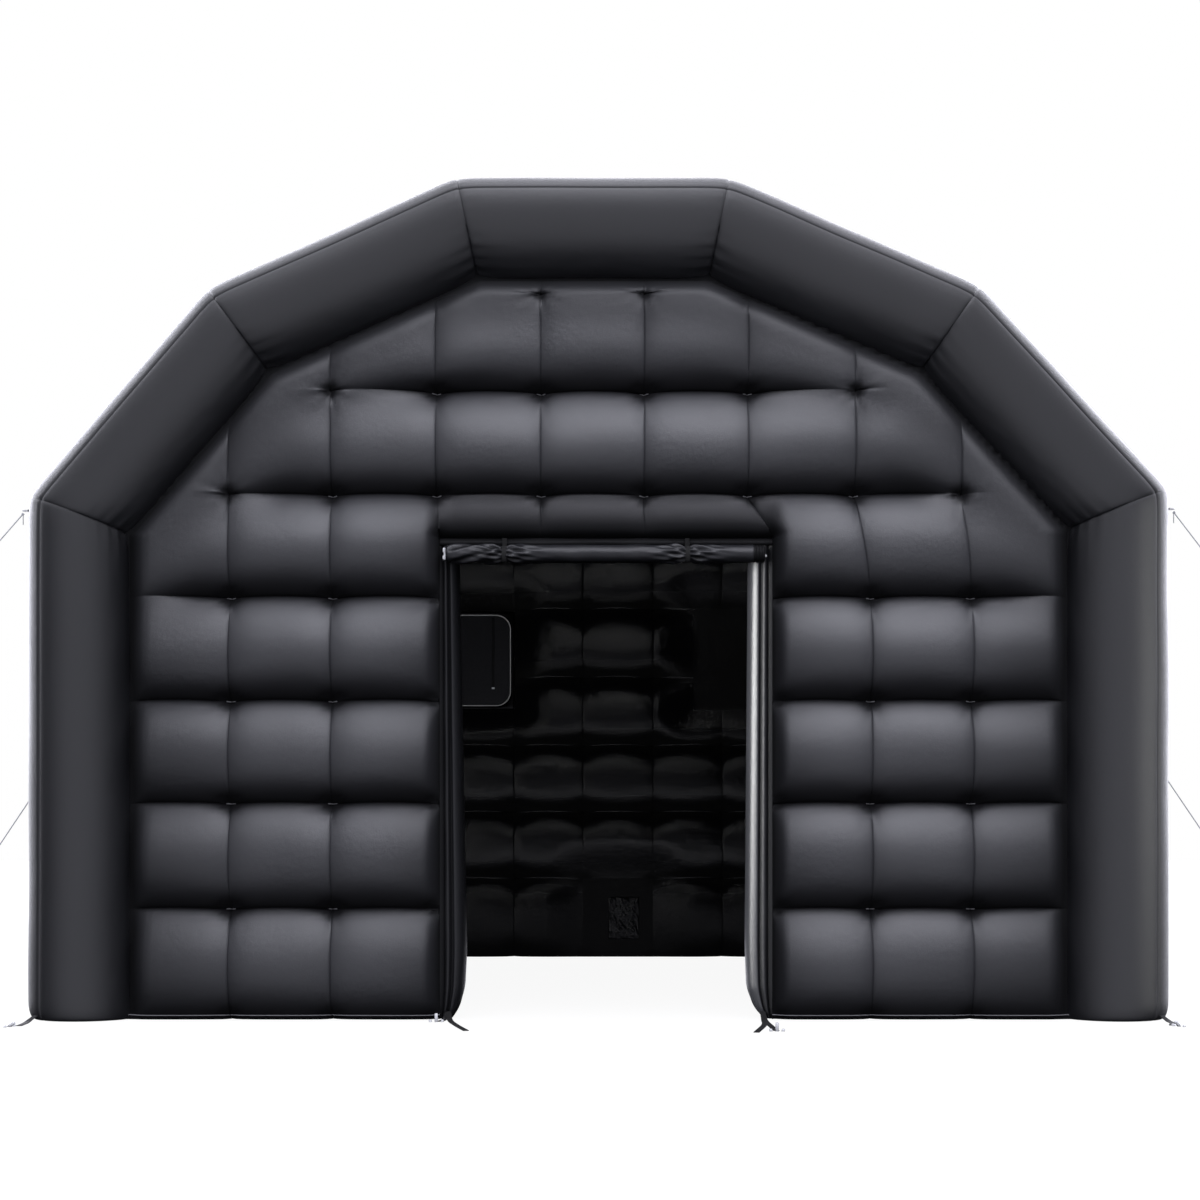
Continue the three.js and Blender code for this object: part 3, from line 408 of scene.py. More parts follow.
ARCH_DIRECTIONS = np.array([d / np.linalg.norm(d) for d in np.diff(ARCH_CORNERS, axis=0)])
ARCH_OUTWARDS = np.stack([-ARCH_DIRECTIONS[:, 1], ARCH_DIRECTIONS[:, 0]], axis=1)


def mitre(corner):
    """The mitre at a corner of the arch: how far its point moves when the outline moves out by one."""
    before = ARCH_OUTWARDS[max(corner - 1, 0)]
    after = ARCH_OUTWARDS[min(corner, len(ARCH_OUTWARDS) - 1)]
    return (before + after) / (1 + before @ after)


ARCH_MITRES = np.array([mitre(corner) for corner in range(len(ARCH_CORNERS))])


def along_arch(k, share, offset):
    """Points along one arch length, offset outwards from the middle of its tube, and the length there."""
    offset = np.asarray(offset)[..., None] - TUBE_RADIUS
    start = ARCH_CORNERS[k] + ARCH_MITRES[k] * offset
    end = ARCH_CORNERS[k + 1] + ARCH_MITRES[k + 1] * offset
    return start + (end - start) * np.asarray(share)[..., None], np.linalg.norm(end - start, axis=-1)


SEAM_GROOVE = {"depth": 0.005, "half": 0.004, "shoulder": 2.2, "clear": 3.4}
MITRE_GROOVE = {"depth": 0.007, "reach": 0.009, "shoulder": 0.004, "shoulder_reach": 0.05}
MITRE_PINCH = {"depth": 0.010, "reach": 0.07}
MITRE_GATHERS = {"depth": 0.008, "count": 60, "reach": 0.06, "start": 0.006, "least": 0.08}
CREASE_GATHERS = {
    "depth": 0.0008, "pitch": 0.026, "width": math.radians(16), "place": math.radians(140), "size": 0.2}
FOOT_ROUND = {"depth": 0.026, "reach": 0.075, "inside": 0.25}
TUBE_UNEVEN = {"depth": 0.0012, "size": 0.7}
ARCH_SECTION = 88
END_STATIONS = (0, 0.005, 0.012, 0.022, 0.036, 0.055, 0.08, 0.11, 0.15, 0.2)
STATION_STEP = 0.045
# How far apart the cloth of two tubes lies in the pattern of the weave
CLOTH_APART = 7.0
LINING_APART = 20.0


def section_angles(seam_angle):
    """Angles around a tube: even steps, with a groove's width at each of its two seams."""
    seams = [seam_angle, 2 * math.pi - seam_angle]
    half = SEAM_GROOVE["half"] / TUBE_RADIUS
    shoulder = SEAM_GROOVE["shoulder"] * half
    fixed = [seam + shift for seam in seams for shift in (-shoulder, -half, 0.0, half, shoulder)]
    even = [2 * math.pi * i / ARCH_SECTION for i in range(ARCH_SECTION)]
    clear = SEAM_GROOVE["clear"] * half
    even = [a for a in even if all(abs(a - seam) > clear for seam in seams)]
    return np.array(sorted(fixed + even)), seams


def length_shares(length):
    """Stations along a tube, closer together near both ends."""
    near = np.array(END_STATIONS) / length
    middle = np.linspace(near[-1], 1 - near[-1], max(6, int(length / STATION_STEP)))
    return np.unique(np.concatenate([near, middle, 1 - near]))


def bump(distance, reach):
    """A smooth hump: 1 in its middle, and next to nothing past twice its reach."""
    return np.exp(-(distance / reach) ** 2)


def mitre_relief(distance, angle, inner, seed):
    """How far a tube is drawn in and gathered at a distance from its sewn mitre."""
    relief = -MITRE_GROOVE["depth"] * np.exp(-distance / MITRE_GROOVE["reach"])
    relief -= MITRE_GROOVE["shoulder"] * bump(distance, MITRE_GROOVE["shoulder_reach"])
    relief -= MITRE_PINCH["depth"] * inner * bump(distance, MITRE_PINCH["reach"])
    waves = np.cos(MITRE_GATHERS["count"] * angle + ripples(angle, angle, 1.0, seed))
    fade = np.exp(-distance / MITRE_GATHERS["reach"]) * (1 - np.exp(-distance / MITRE_GATHERS["start"]))
    least = MITRE_GATHERS["least"]
    return relief + MITRE_GATHERS["depth"] * waves * fade * (least + (1 - least) * inner ** 1.5)


def arch_tube(name, k, plane_y, seed, sizes):
    """One inflated length of an arch, between two mitres or a mitre and its foot."""
    angles, seams = section_angles(sizes.seam_angle)
    shares = length_shares(float(along_arch(k, 0.0, 0.0)[1]))
    share, angle = np.meshgrid(shares, angles, indexing="ij")
    out = np.cos(angle)
    inner = np.clip(-out, 0, 1)
    length = along_arch(k, share, TUBE_RADIUS * out)[1]
    from_start = share * length
    radius = np.full(share.shape, TUBE_RADIUS)
    for seam in seams:
        radius -= SEAM_GROOVE["depth"] * bump((angle - seam) * TUBE_RADIUS, SEAM_GROOVE["half"])
    for distance, foot in ((from_start, 0), ((1 - share) * length, len(ARCH_LENGTHS) - 1)):
        if k == foot:
            drop = np.clip(1 - distance / FOOT_ROUND["reach"], 0, 1)
            inside = FOOT_ROUND["inside"]
            radius -= FOOT_ROUND["depth"] * (1 - np.sqrt(1 - drop ** 2)) * (1 - inside + inside * out)
        else:
            radius += mitre_relief(distance, angle, inner, seed)
    along = from_start * 2 * math.pi / CREASE_GATHERS["pitch"]
    waves = np.sin(along + 2 * ripples(from_start, angle, CREASE_GATHERS["size"], seed + 1))
    for place in (CREASE_GATHERS["place"], 2 * math.pi - CREASE_GATHERS["place"]):
        radius += CREASE_GATHERS["depth"] * waves * bump(angle - place, CREASE_GATHERS["width"])
    radius += TUBE_UNEVEN["depth"] * ripples(from_start, angle * TUBE_RADIUS, TUBE_UNEVEN["size"], seed + 2)
    place = along_arch(k, share, radius * out)[0]
    points = np.stack([place[..., 0], plane_y + radius * np.sin(angle), place[..., 1]], axis=-1)
    if k == 0:
        points[0, :, 2] = 0.0
    if k == len(ARCH_LENGTHS) - 1:
        points[-1, :, 2] = 0.0
    uv = np.stack([angle * TUBE_RADIUS, from_start + CLOTH_APART * k], axis=-1)
    return add_tube(name, points, "cloth_arch", uv=uv)


def tube_shape(rings, looped=False):
    """Points and outward faces of a tube through rings of points, its ends closed or joined up."""
    rings = np.asarray(rings, float)
    turns, count = rings.shape[:2]
    ring, step = np.meshgrid(np.arange(turns if looped else turns - 1), np.arange(count), indexing="ij")
    ahead, after = (ring + 1) % turns, (step + 1) % count
    faces = np.stack([
        ring * count + step, ring * count + after, ahead * count + after, ahead * count + step,
    ], axis=-1).reshape(-1, 4).tolist()
    if not looped:
        last = (turns - 1) * count
        faces += [list(range(count))[::-1], list(range(last, last + count))]
    points = rings.reshape(-1, 3)
    return points, outward(points, faces)


def tube_uv(rings):
    """The places of a tube's points on its cloth: around it, and along it."""
    rings = np.asarray(rings, float)
    middle = rings.mean(axis=1)
    along = np.concatenate([[0], np.cumsum(np.linalg.norm(np.diff(middle, axis=0), axis=1))])
    around = np.linalg.norm(np.diff(rings[:, list(range(rings.shape[1])) + [0]], axis=1), axis=2)
    around = np.concatenate([np.zeros((len(rings), 1)), np.cumsum(around, axis=1)[:, :-1]], axis=1)
    return np.stack([around, np.broadcast_to(along[:, None], around.shape)], axis=-1).reshape(-1, 2)


def add_tube(name, rings, material, crease=None, uv=None, looped=False):
    """A tube of cloth through rings of points."""
    points, faces = tube_shape(rings, looped)
    uv = tube_uv(rings) if uv is None else uv.reshape(-1, 2)
    return add_mesh(name, points, faces, [material], uv, crease=crease)


# Quilted panels

SIDES = {"outside": 1, "inside": -1}

# How square each puff is, how sharp its valleys are, how high it stays at its upright and its level seams,
# how low its belly hangs, and how far its corners are drawn in
PUFFS = {
    "outside": {
        "square": 2.0, "across": 3.6, "valley": 0.9, "upright": 0.76, "level": 0.16,
        "belly": 0.95, "corner": 0.0},
    "inside": {
        "square": 3.0, "across": 4.0, "valley": 0.9, "upright": 0.9, "level": 0.1,
        "belly": 1.0, "corner": 0.5},
}
CREASE_ARC = {"rise": 0.009, "reach": 0.25}
SEAM_LINE = {"depth": 0.0022, "outside": -0.0013, "inside": 0.0045, "half": 0.003}
TUFT = {
    "depth": 0.026, "reach": 0.024, "wrinkle": 0.0056, "wrinkle_reach": 0.036, "wrinkle_fade": 1.4,
    "folds": 9, "fine_folds": 14, "fine": 0.6}
VALLEY_GATHERS = {"outside": 0.002, "inside": 0.0036, "pitch": 0.036, "reach": 0.03, "size": 0.16}
UNEVEN = {"share": 0.05, "size": 0.9}
HELD = {"from": 0.12, "at": 0.42}
# How the quilting starts along the arch, beside the doorway and over it
ARCH_RISE = {"start": 0.1, "fade": 0.8, "power": 0.85}
DOOR_RISE = {"beside": 0.5, "over": 0.6, "loose": 0.03, "corner": 0.02, "lintel": 0.1, "flat": 0.5}
# How dark the painted shade is, and how far it reaches from a seam, a row of tufts, a tuft or an edge
SEAM_SHADE = {
    "reach": 0.003, "row": 0.25, "row_reach": 0.006, "valley": 0.76, "above": 0.09, "below": 0.028}
TUFT_SHADE = {"star": 0.95, "reach": 0.036, "halo": 0.3, "halo_reach": 0.075}
EDGE_SHADE = {"line": 0.62, "line_reach": 0.045, "wide": 0.4, "wide_reach": 0.36}
LINING_SHADE = {"flat": 0.85, "flat_reach": 0.004, "ground": 0.86, "ground_reach": 0.34}
# Painted shade over the doorway: its darkest, its reach, and how fast it fades to the sides and near the
# doorway
LINTEL_SHADE = {"most": 0.96, "reach": 0.19, "aside": 4, "door": 2.2}
MOST_SHADE = 0.95
CELL_LINES = {"even": 0.22, "beside": 0.009, "below_top": 0.004}


def crown(t, square=2.0):
    """An arc over each unit, from 0 at its ends to 1 in its middle."""
    return 1 - np.abs(2 * (t - np.floor(t)) - 1) ** square


def smooth_step(t):
    """A smooth rise from 0 to 1."""
    t = np.clip(t, 0, 1)
    return t * t * (3 - 2 * t)


def edge_rise(distance, fade, power=0.5):
    """How far the quilting has risen at a distance from the edge of its panel, on a round arc at a half."""
    share = np.clip(distance / fade, 0, 1)
    return (1 - (1 - share) ** 2) ** power


def quilting(u, v, form, held=1.0):
    """Share of the full rise over the tufts. The cloth runs smoothly over rows that aren't held down."""
    across = crown(u, form["across"])
    hung = np.floor(v) + (v - np.floor(v)) ** form["belly"]
    up = 1 - (1 - crown(hung, form["square"]) ** form["valley"]) * held
    corner = form["corner"] * (1 - crown(u)) * (1 - crown(v)) * held
    level = form["level"] * across * (1 - up)
    return up * (form["upright"] + (1 - form["upright"]) * across) + level - corner


def tuft_distance(u, v, width, height):
    """Distance from the nearest tuft, across, up and straight."""
    du = (u - np.round(u)) * width
    dv = (v - np.round(v)) * height
    return du, dv, np.hypot(du, dv)


def sewing(u, v, width, height, seed, side, held):
    """Fine relief in metres: stitched seam lines, tuft puckers and short gathers along the valleys."""
    du, dv, radius = tuft_distance(u, v, width, height)
    turn = np.arctan2(dv, du)
    relief = -SEAM_LINE["depth"] * bump(du, SEAM_LINE["half"])
    relief += SEAM_LINE[side] * held * bump(dv, SEAM_LINE["half"])
    relief -= TUFT["depth"] * np.exp(-radius / TUFT["reach"])
    start = 2.4 * np.round(u) + 1.7 * np.round(v) + seed
    folds = np.cos(TUFT["folds"] * turn + 3 * np.sin(start))
    folds = folds + TUFT["fine"] * np.cos(TUFT["fine_folds"] * turn + 5 * np.cos(1.3 * start))
    reach = radius / TUFT["wrinkle_reach"]
    relief += TUFT["wrinkle"] * folds * reach * np.exp(1 - TUFT["wrinkle_fade"] * reach)
    across = u * width
    uneven = ripples(across, v * height, VALLEY_GATHERS["size"], seed)
    waves = np.sin(across * 2 * math.pi / VALLEY_GATHERS["pitch"] + 2.2 * uneven)
    fade = np.exp(-np.abs(dv) / VALLEY_GATHERS["reach"]) * np.clip(0.5 + 0.5 * uneven, 0, 1) * held
    return relief + VALLEY_GATHERS[side] * waves * fade


def seam_shade(u, v, width, height, held, line=0.14, ridge=0.0):
    """Painted shade in the quilting's hollows: darkest at the tufts, and less along the stitched lines."""
    du, dv, radius = tuft_distance(u, v, width, height)
    row = bump(dv, SEAM_SHADE["row_reach"])
    lines = line * bump(du, SEAM_SHADE["reach"]) + SEAM_SHADE["row"] * (1 - ridge) * held * row
    above, below = np.clip(dv, 0, None) / SEAM_SHADE["above"], np.clip(-dv, 0, None) / SEAM_SHADE["below"]
    valley = SEAM_SHADE["valley"] * held * np.exp(-above ** 2 - below ** 2) * (1 - ridge * row)
    star = TUFT_SHADE["star"] * bump(radius, TUFT_SHADE["reach"])
    halo = TUFT_SHADE["halo"] * bump(radius, TUFT_SHADE["halo_reach"])
    return np.clip(lines + valley + star + halo, 0, MOST_SHADE)


def edge_shade(distance):
    """Painted shade along the edge of a panel, where the tube beside it shades the cloth."""
    inside = np.clip(distance, 0, None)
    line = EDGE_SHADE["line"] * np.exp(-inside / EDGE_SHADE["line_reach"])
    return line + EDGE_SHADE["wide"] * bump(inside, EDGE_SHADE["wide_reach"])


STITCH = {"reach": 0.022, "radius": 0.0024, "proud": 0.002, "held": 0.5, "rise": 0.4, "row": 0.5}
HEM = {"height": 0.022, "radius": 0.0022, "proud": 0.001}


def cell_lines(low, high, steps, fixed=()):
    """Line numbers between two seam numbers: close together at each seam, and one at each fixed place."""
    places = sorted({low, high, *fixed, *range(math.ceil(low), math.floor(high) + 1)})
    even = CELL_LINES["even"]
    lines = []
    for start, end in zip(places, places[1:]):
        count = max(3, round(steps * (end - start)))
        share = np.arange(count + 1) / count
        share = even * share + (1 - even) * (0.5 - 0.5 * np.cos(math.pi * share))
        lines.extend(start + (end - start) * share[:-1])
        if start == round(start):
            lines.append(start + CELL_LINES["beside"])
        if end == round(end):
            lines.append(end - CELL_LINES["beside"])
    lines = np.array(sorted({*np.round(lines, 6), float(high)}))
    return lines[np.concatenate([[True], np.diff(lines) > 1e-5])]


def border_edges(faces):
    """Edges that only one face has, in its direction."""
    seen = set()
    for face in faces:
        for a, b in zip(face, face[1:] + face[:1]):
            if (b, a) in seen:
                seen.remove((b, a))
            else:
                seen.add((a, b))
    return sorted(seen)


def double_skin(front, back, faces):
    """Points and outward faces of two skins that share one set of faces, joined by a rim."""
    count = len(front)
    rim = [[b, a, a + count, b + count] for a, b in border_edges(faces)]
    points = np.concatenate([front, back])
    return points, outward(points, faces + [[i + count for i in face[::-1]] for face in faces] + rim)


def quilted_piece(name, outside, inside, faces, uv, crease, lining=None):
    """A closed panel from its two skins, the outside one and the lining, each with its painted shade."""
    used = np.unique(np.concatenate([np.ravel(face) for face in faces]))
    renumber = np.zeros(len(outside), int)
    renumber[used] = np.arange(len(used))
    faces = [[int(renumber[i]) for i in face] for face in faces]
    # The crease values are painted shade; the lining takes the outside's unless it has its own
    lining = crease if lining is None else lining
    points, every = double_skin(outside[used], inside[used], faces)
    kinds = [0] * len(faces) + [1] * len(faces) + [0] * (len(every) - 2 * len(faces))
    both = np.concatenate([uv[used], uv[used] + LINING_APART])
    painted_shades = np.concatenate([crease[used], lining[used]])
    return add_mesh(name, points, every, ["cloth_outside", "cloth_inside"], both, kinds, painted_shades)


def grid_faces(numbers, kept=None):
    """Faces of a grid of vertex numbers, where repeated numbers have closed a cell up."""
    faces = []
    rows, columns = numbers.shape
    for j in range(rows - 1):
        for i in range(columns - 1):
            if kept is not None and not kept[j, i]:
                continue
            corner = [int(numbers[j + up, i + across]) for across, up in ((0, 0), (1, 0), (1, 1), (0, 1))]
            face = [c for n, c in enumerate(corner) if c != corner[n - 1]]
            if len(face) > 2:
                faces.append(face)
    return faces


def box_distance(x, z, box):
    """Distance from points of a wall to a box in it, 0 inside."""
    across = np.maximum(np.maximum(box["left"] - x, x - box["right"]), 0)
    up = np.maximum(np.maximum(box["bottom"] - z, z - box["top"]), 0)
    return np.hypot(across, up)


def outline_distance(x, z, lengths=range(len(ARCH_LENGTHS))):
    """Distance inwards from the line where the walls meet the arch tubes, or some lengths of them."""
    inset = ARCH_CORNERS - ARCH_MITRES * WALL_INSET
    sides = [
        (inset[k, 0] - x) * ARCH_OUTWARDS[k, 0] + (inset[k, 1] - z) * ARCH_OUTWARDS[k, 1]
        for k in lengths
    ]
    return np.min(sides, axis=0)


def wall_edge_rise(x, z, fade):
    """The quilting's rise along the arch, whose tubes hide its start."""
    distance = outline_distance(x, z) + ARCH_RISE["start"] * fade
    return edge_rise(distance, ARCH_RISE["fade"] * fade, ARCH_RISE["power"])


def held_share(x, z):
    """How firmly the rows of tufts hold an end wall: not at all next to the haunches and the crown."""
    away = outline_distance(x, z, range(1, len(ARCH_LENGTHS) - 1))
    return smooth_step((away - HELD["from"]) / (HELD["at"] - HELD["from"]))


def doorway_rise(x, z, fade):
    """The quilting's rise around the doorway, whose side seams fade out above it."""
    inside = np.minimum(x - DOOR["left"], DOOR["right"] - x)
    loose_side = smooth_step((z - DOOR["top"]) / DOOR_RISE["loose"])
    beside = 1 - (1 - loose_side) * (1 - edge_rise(np.abs(inside), DOOR_RISE["beside"] * fade))
    over = edge_rise(z - DOOR["top"], DOOR_RISE["over"] * fade)
    over = 1 - (1 - over) * np.clip(0.5 + inside / DOOR_RISE["corner"], 0, 1)
    lintel = smooth_step((STRAIGHT_ABOVE - z) / DOOR_RISE["loose"])
    lintel = lintel * np.clip(0.5 + inside / DOOR_RISE["lintel"], 0, 1)
    return beside * over * (1 - DOOR_RISE["flat"] * lintel)


def row_at(rows, v):
    """Place of a row or seam number on its grid."""
    return np.interp(v, np.arange(len(rows)), rows)


def line_number(places, place):
    """Row or seam number of a place on its grid."""
    return float(np.interp(place, places, np.arange(len(places))))


def front_seam_at(u, z):
    """Place across of a front seam number at a height, as the seams shift above their bend."""
    places = np.array([
        s["low"] + (s["high"] - s["low"]) * np.clip((z - s["bend"]) / (STRAIGHT_ABOVE - s["bend"]), 0, 1)
        for s in FRONT_SEAMS
    ])
    low = np.clip(np.floor(u).astype(int), 0, len(FRONT_SEAMS) - 2)
    share = u - low
    column = np.arange(z.size).reshape(z.shape)
    flat = places.reshape(len(FRONT_SEAMS), -1)
    return flat[low, column] * (1 - share) + flat[low + 1, column] * share


def front_shade(x, z):
    """Painted shade on the front wall: along the arch, beside the doorway and over it."""
    aside = np.clip(np.maximum(DOOR["left"] - x, x - DOOR["right"]), 0, None)
    over = np.hypot(z - DOOR["top"], LINTEL_SHADE["aside"] * aside)
    lintel = LINTEL_SHADE["most"] * bump(over, LINTEL_SHADE["reach"]) * (z > DOOR["top"] - 0.001)
    edge = np.minimum(outline_distance(x, z), LINTEL_SHADE["door"] * box_distance(x, z, DOOR))
    return np.maximum(edge_shade(edge), lintel)


def back_shade(x, z):
    """The same for the back wall, along the arch."""
    return edge_shade(outline_distance(x, z))


def skin_depth(face, sizes, half, rise, place, cells, seed):
    """Depth of one skin from the middle of its panel, with its slightly uneven cells and their sewing."""
    u, v, width, height, held = cells
    puff = {"outside": sizes.puff_outside, "inside": sizes.puff_inside}[face]
    seed += SIDES[face]
    uneven = 1 + UNEVEN["share"] * ripples(*place, UNEVEN["size"], seed)
    puffed = half + puff * rise * quilting(u, v, PUFFS[face], held) * uneven
    return puffed + np.clip(rise * 2, 0, 1) * sewing(u, v, width, height, seed, face, held)


def wall_grid(rows, seam_at, columns, fixed, sizes):
    """Seam and row numbers, places and vertex numbers of an end wall, drawn in to the arch on both sides."""
    tuck = ARCH_CORNERS - ARCH_MITRES * (WALL_INSET - sizes.edge_tuck)
    top = tuck[3, 1]
    v_lines = cell_lines(0, len(rows) - 1, sizes.cell_steps, fixed["rows"])
    below = v_lines[row_at(rows, v_lines) < top - CELL_LINES["below_top"]]
    v_lines = np.append(below, line_number(rows, top))
    u_lines = cell_lines(0, columns, sizes.cell_steps, fixed["seams"])
    v, u = np.meshgrid(v_lines, u_lines, indexing="ij")
    z = row_at(rows, v)
    x = seam_at(u, z)
    left = np.interp(z[:, 0], tuck[:4, 1], tuck[:4, 0])[:, None]
    right = np.interp(z[:, 0], tuck[7:3:-1, 1], tuck[7:3:-1, 0])[:, None]
    first = np.maximum((x <= left + 1e-6).sum(axis=1) - 1, 0)[:, None]
    last = np.minimum((x < right - 1e-6).sum(axis=1), x.shape[1] - 1)[:, None]
    column = np.clip(np.arange(x.shape[1])[None, :], first, last)
    return u, v, np.clip(x, left, right), z, np.arange(x.shape[0])[:, None] * x.shape[1] + column


def wall_piece(
        name, rows, seam_at, columns, plane_y, half_at, rise_at, shade_at, flats, openings, fixed,
        sizes, seed):
    """An end wall: its quilted skins inside the arch, with cells left out at the openings."""
    u, v, x, z, numbers = wall_grid(rows, seam_at, columns, fixed, sizes)
    kept = np.ones((x.shape[0] - 1, x.shape[1] - 1), bool)
    u_mid = (u[:-1, :-1] + u[1:, 1:]) / 2
    v_mid = (v[:-1, :-1] + v[1:, 1:]) / 2
    for u0, u1, v0, v1 in openings:
        kept &= ~((u_mid > u0) & (u_mid < u1) & (v_mid > v0) & (v_mid < v1))
    outward_y = math.copysign(1, plane_y)
    steps = np.clip(u + 0.01, 0, columns) - np.clip(u - 0.01, 0, columns)
    width = (seam_at(u + 0.01, z) - seam_at(u - 0.01, z)) / steps
    height = rows[2] - rows[1]
    held = held_share(x, z)
    arc = CREASE_ARC["rise"] * crown(u) * held * np.clip(v, 0, 1)
    arc = arc * bump(v - np.round(v), CREASE_ARC["reach"])
    # Painted shade: outside in the quilting's hollows and along the arch and doorway; on the lining in its
    # hollows, around its flat parts and near the ground
    crease = np.maximum(seam_shade(u, v, width, height, held), shade_at(x, z))
    lining = seam_shade(u, v, width, height, held, line=0.0, ridge=1.0)
    for flat in flats["inside"]:
        near = box_distance(x, z, flat) < LINING_SHADE["flat_reach"]
        lining = np.maximum(lining, LINING_SHADE["flat"] * near)
    lining = np.maximum(lining, LINING_SHADE["ground"] * bump(z, LINING_SHADE["ground_reach"]))
    skins = []
    for face, side in SIDES.items():
        rise = rise_at(x, z)
        for flat in flats[face]:
            rise = np.minimum(rise, box_distance(x, z, flat) / FLAT_FADE[face])
        deep = skin_depth(face, sizes, half_at(x, z), rise, (x, z), (u, v, width, height, held), seed)
        skins.append(np.stack([x, plane_y + outward_y * side * deep, z + arc * rise], axis=-1))
    wall_stitches(f"{name}_stitches", skins[0], u, v, held, rise, kept, outward_y)
    uv = np.stack([x, z], axis=-1).reshape(-1, 2)
    outside, inside = (skin.reshape(-1, 3) for skin in skins)
    faces = grid_faces(numbers, kept)
    return quilted_piece(name, outside, inside, faces, uv, crease.ravel(), lining.ravel())


def wall_stitches(name, skin, u, v, held, rise, kept, outward_y):
    """The knotted threads in the tufts of an end wall, and the piping along its foot."""
    on_grid = (np.abs(u - np.round(u)) < 1e-6) & (np.abs(v - np.round(v)) < 1e-6)
    tufted = on_grid & (held > STITCH["held"]) & (rise > STITCH["rise"]) & (v > STITCH["row"])
    shapes = []
    for row, column in zip(*np.nonzero(tufted)):
        near = np.abs(skin[row, :, 0] - skin[row, column, 0]) < STITCH["reach"]
        across = skin[row, near] + [0, outward_y * STITCH["proud"], 0]
        shapes.append(rope_shape(across, STITCH["radius"], sides=6))
    foot = int(np.argmin(np.abs(skin[:, 0, 2] - HEM["height"])))
    there = np.concatenate([kept[foot], [False]]) | np.concatenate([[False], kept[foot]])
    there &= np.concatenate([[True], np.diff(skin[foot, :, 0]) > 1e-6])
    places = np.nonzero(there)[0]
    for run in np.split(places, np.nonzero(np.diff(places) > 1)[0] + 1):
        hem = skin[foot, run] + [0, outward_y * HEM["proud"], 0]
        shapes.append(rope_shape(hem, HEM["radius"], sides=6))
    finish_piece(add_shapes(name, shapes, "thread"))


def span_panel(name, k, row_shares, sizes, seed):
    """A quilted panel between the arches, along one arch length."""
    half = (REAR_Y - FRONT_Y) / 2 - TUBE_RADIUS
    tuck = sizes.edge_tuck / half * DEPTH_CELLS / 2
    u_lines = np.concatenate([[-tuck], cell_lines(0, DEPTH_CELLS, sizes.cell_steps), [DEPTH_CELLS + tuck]])
    v, u = np.meshgrid(cell_lines(0, len(row_shares) - 1, sizes.cell_steps), u_lines, indexing="ij")
    across = half * (2 * u / DEPTH_CELLS - 1)
    share = row_at(row_shares, v)
    length = float(along_arch(k, 0.0, 0.0)[1])
    distance = half - np.abs(across)
    rise = edge_rise(distance, sizes.edge_fade)
    cells = (np.clip(u, 0, DEPTH_CELLS), v, 2 * half / DEPTH_CELLS, length / (len(row_shares) - 1), 1.0)
    skins = []
    for face, side in SIDES.items():
        deep = skin_depth(face, sizes, PANEL_HALF, rise, (across, share * length), cells, seed)
        place = along_arch(k, share, side * deep)[0]
        skins.append(np.stack([place[..., 0], MIDDLE_Y + across, place[..., 1]], axis=-1).reshape(-1, 3))
    uv = np.stack([across, share * length], axis=-1).reshape(-1, 2)
    # Painted shade in the quilting's hollows and along the panel's edges, where the tubes shade it
    crease = np.maximum(seam_shade(*cells), edge_shade(distance))
    return quilted_piece(name, *skins, grid_faces(np.arange(u.size).reshape(u.shape)), uv, crease.ravel())


class TENT_OT_add_arches(Operator):
    """Adds the front and the rear arch, seven inflated lengths each"""

    bl_idname = "tent.add_arches"
    bl_label = "Add Arches"

    def execute(self, context):
        sizes = context.scene.tent_sizes
        for end, plane_y, seed in (("front", FRONT_Y, 10), ("rear", REAR_Y, 40)):
            for k, place in enumerate(ARCH_LENGTHS):
                node = f"{end}_{place}"
                piece = arch_tube(f"{node}_tube", k, plane_y, seed + 3 * k, sizes)
                if node == "front_" + ARCH_LENGTHS[-1]:
                    lit_by("lit_right", piece)
                finish_padded(piece, [node])
        return {"FINISHED"}


class TENT_OT_add_side_walls(Operator):
    """Adds the quilted side walls between the arches"""

    bl_idname = "tent.add_side_walls"
    bl_label = "Add Side Walls"

    def execute(self, context):
        sizes = context.scene.tent_sizes
        for node, k in (("side_wall_left", 0), ("side_wall_right", len(ARCH_LENGTHS) - 1)):
            top = float(max(along_arch(k, 0.0, 0.0)[0][1], along_arch(k, 1.0, 0.0)[0][1]))
            shares = [z / top for z in SIDE_ROWS] + [1.0]
            if k:
                shares = [1 - share for share in reversed(shares)]
            finish_padded(span_panel(f"{node}_quilt", k, shares, sizes, 70 + k), [node])
        return {"FINISHED"}


class TENT_OT_add_roof(Operator):
    """Adds the five quilted roof panels"""

    bl_idname = "tent.add_roof"
    bl_label = "Add Roof"

    def execute(self, context):
        shares = np.linspace(0, 1, ROOF_ROWS + 1)
        for k in range(1, len(ARCH_LENGTHS) - 1):
            node = f"roof_{ARCH_LENGTHS[k]}"
            piece = span_panel(f"{node}_quilt", k, shares, context.scene.tent_sizes, 90 + k)
            finish_padded(piece, [node])
        return {"FINISHED"}


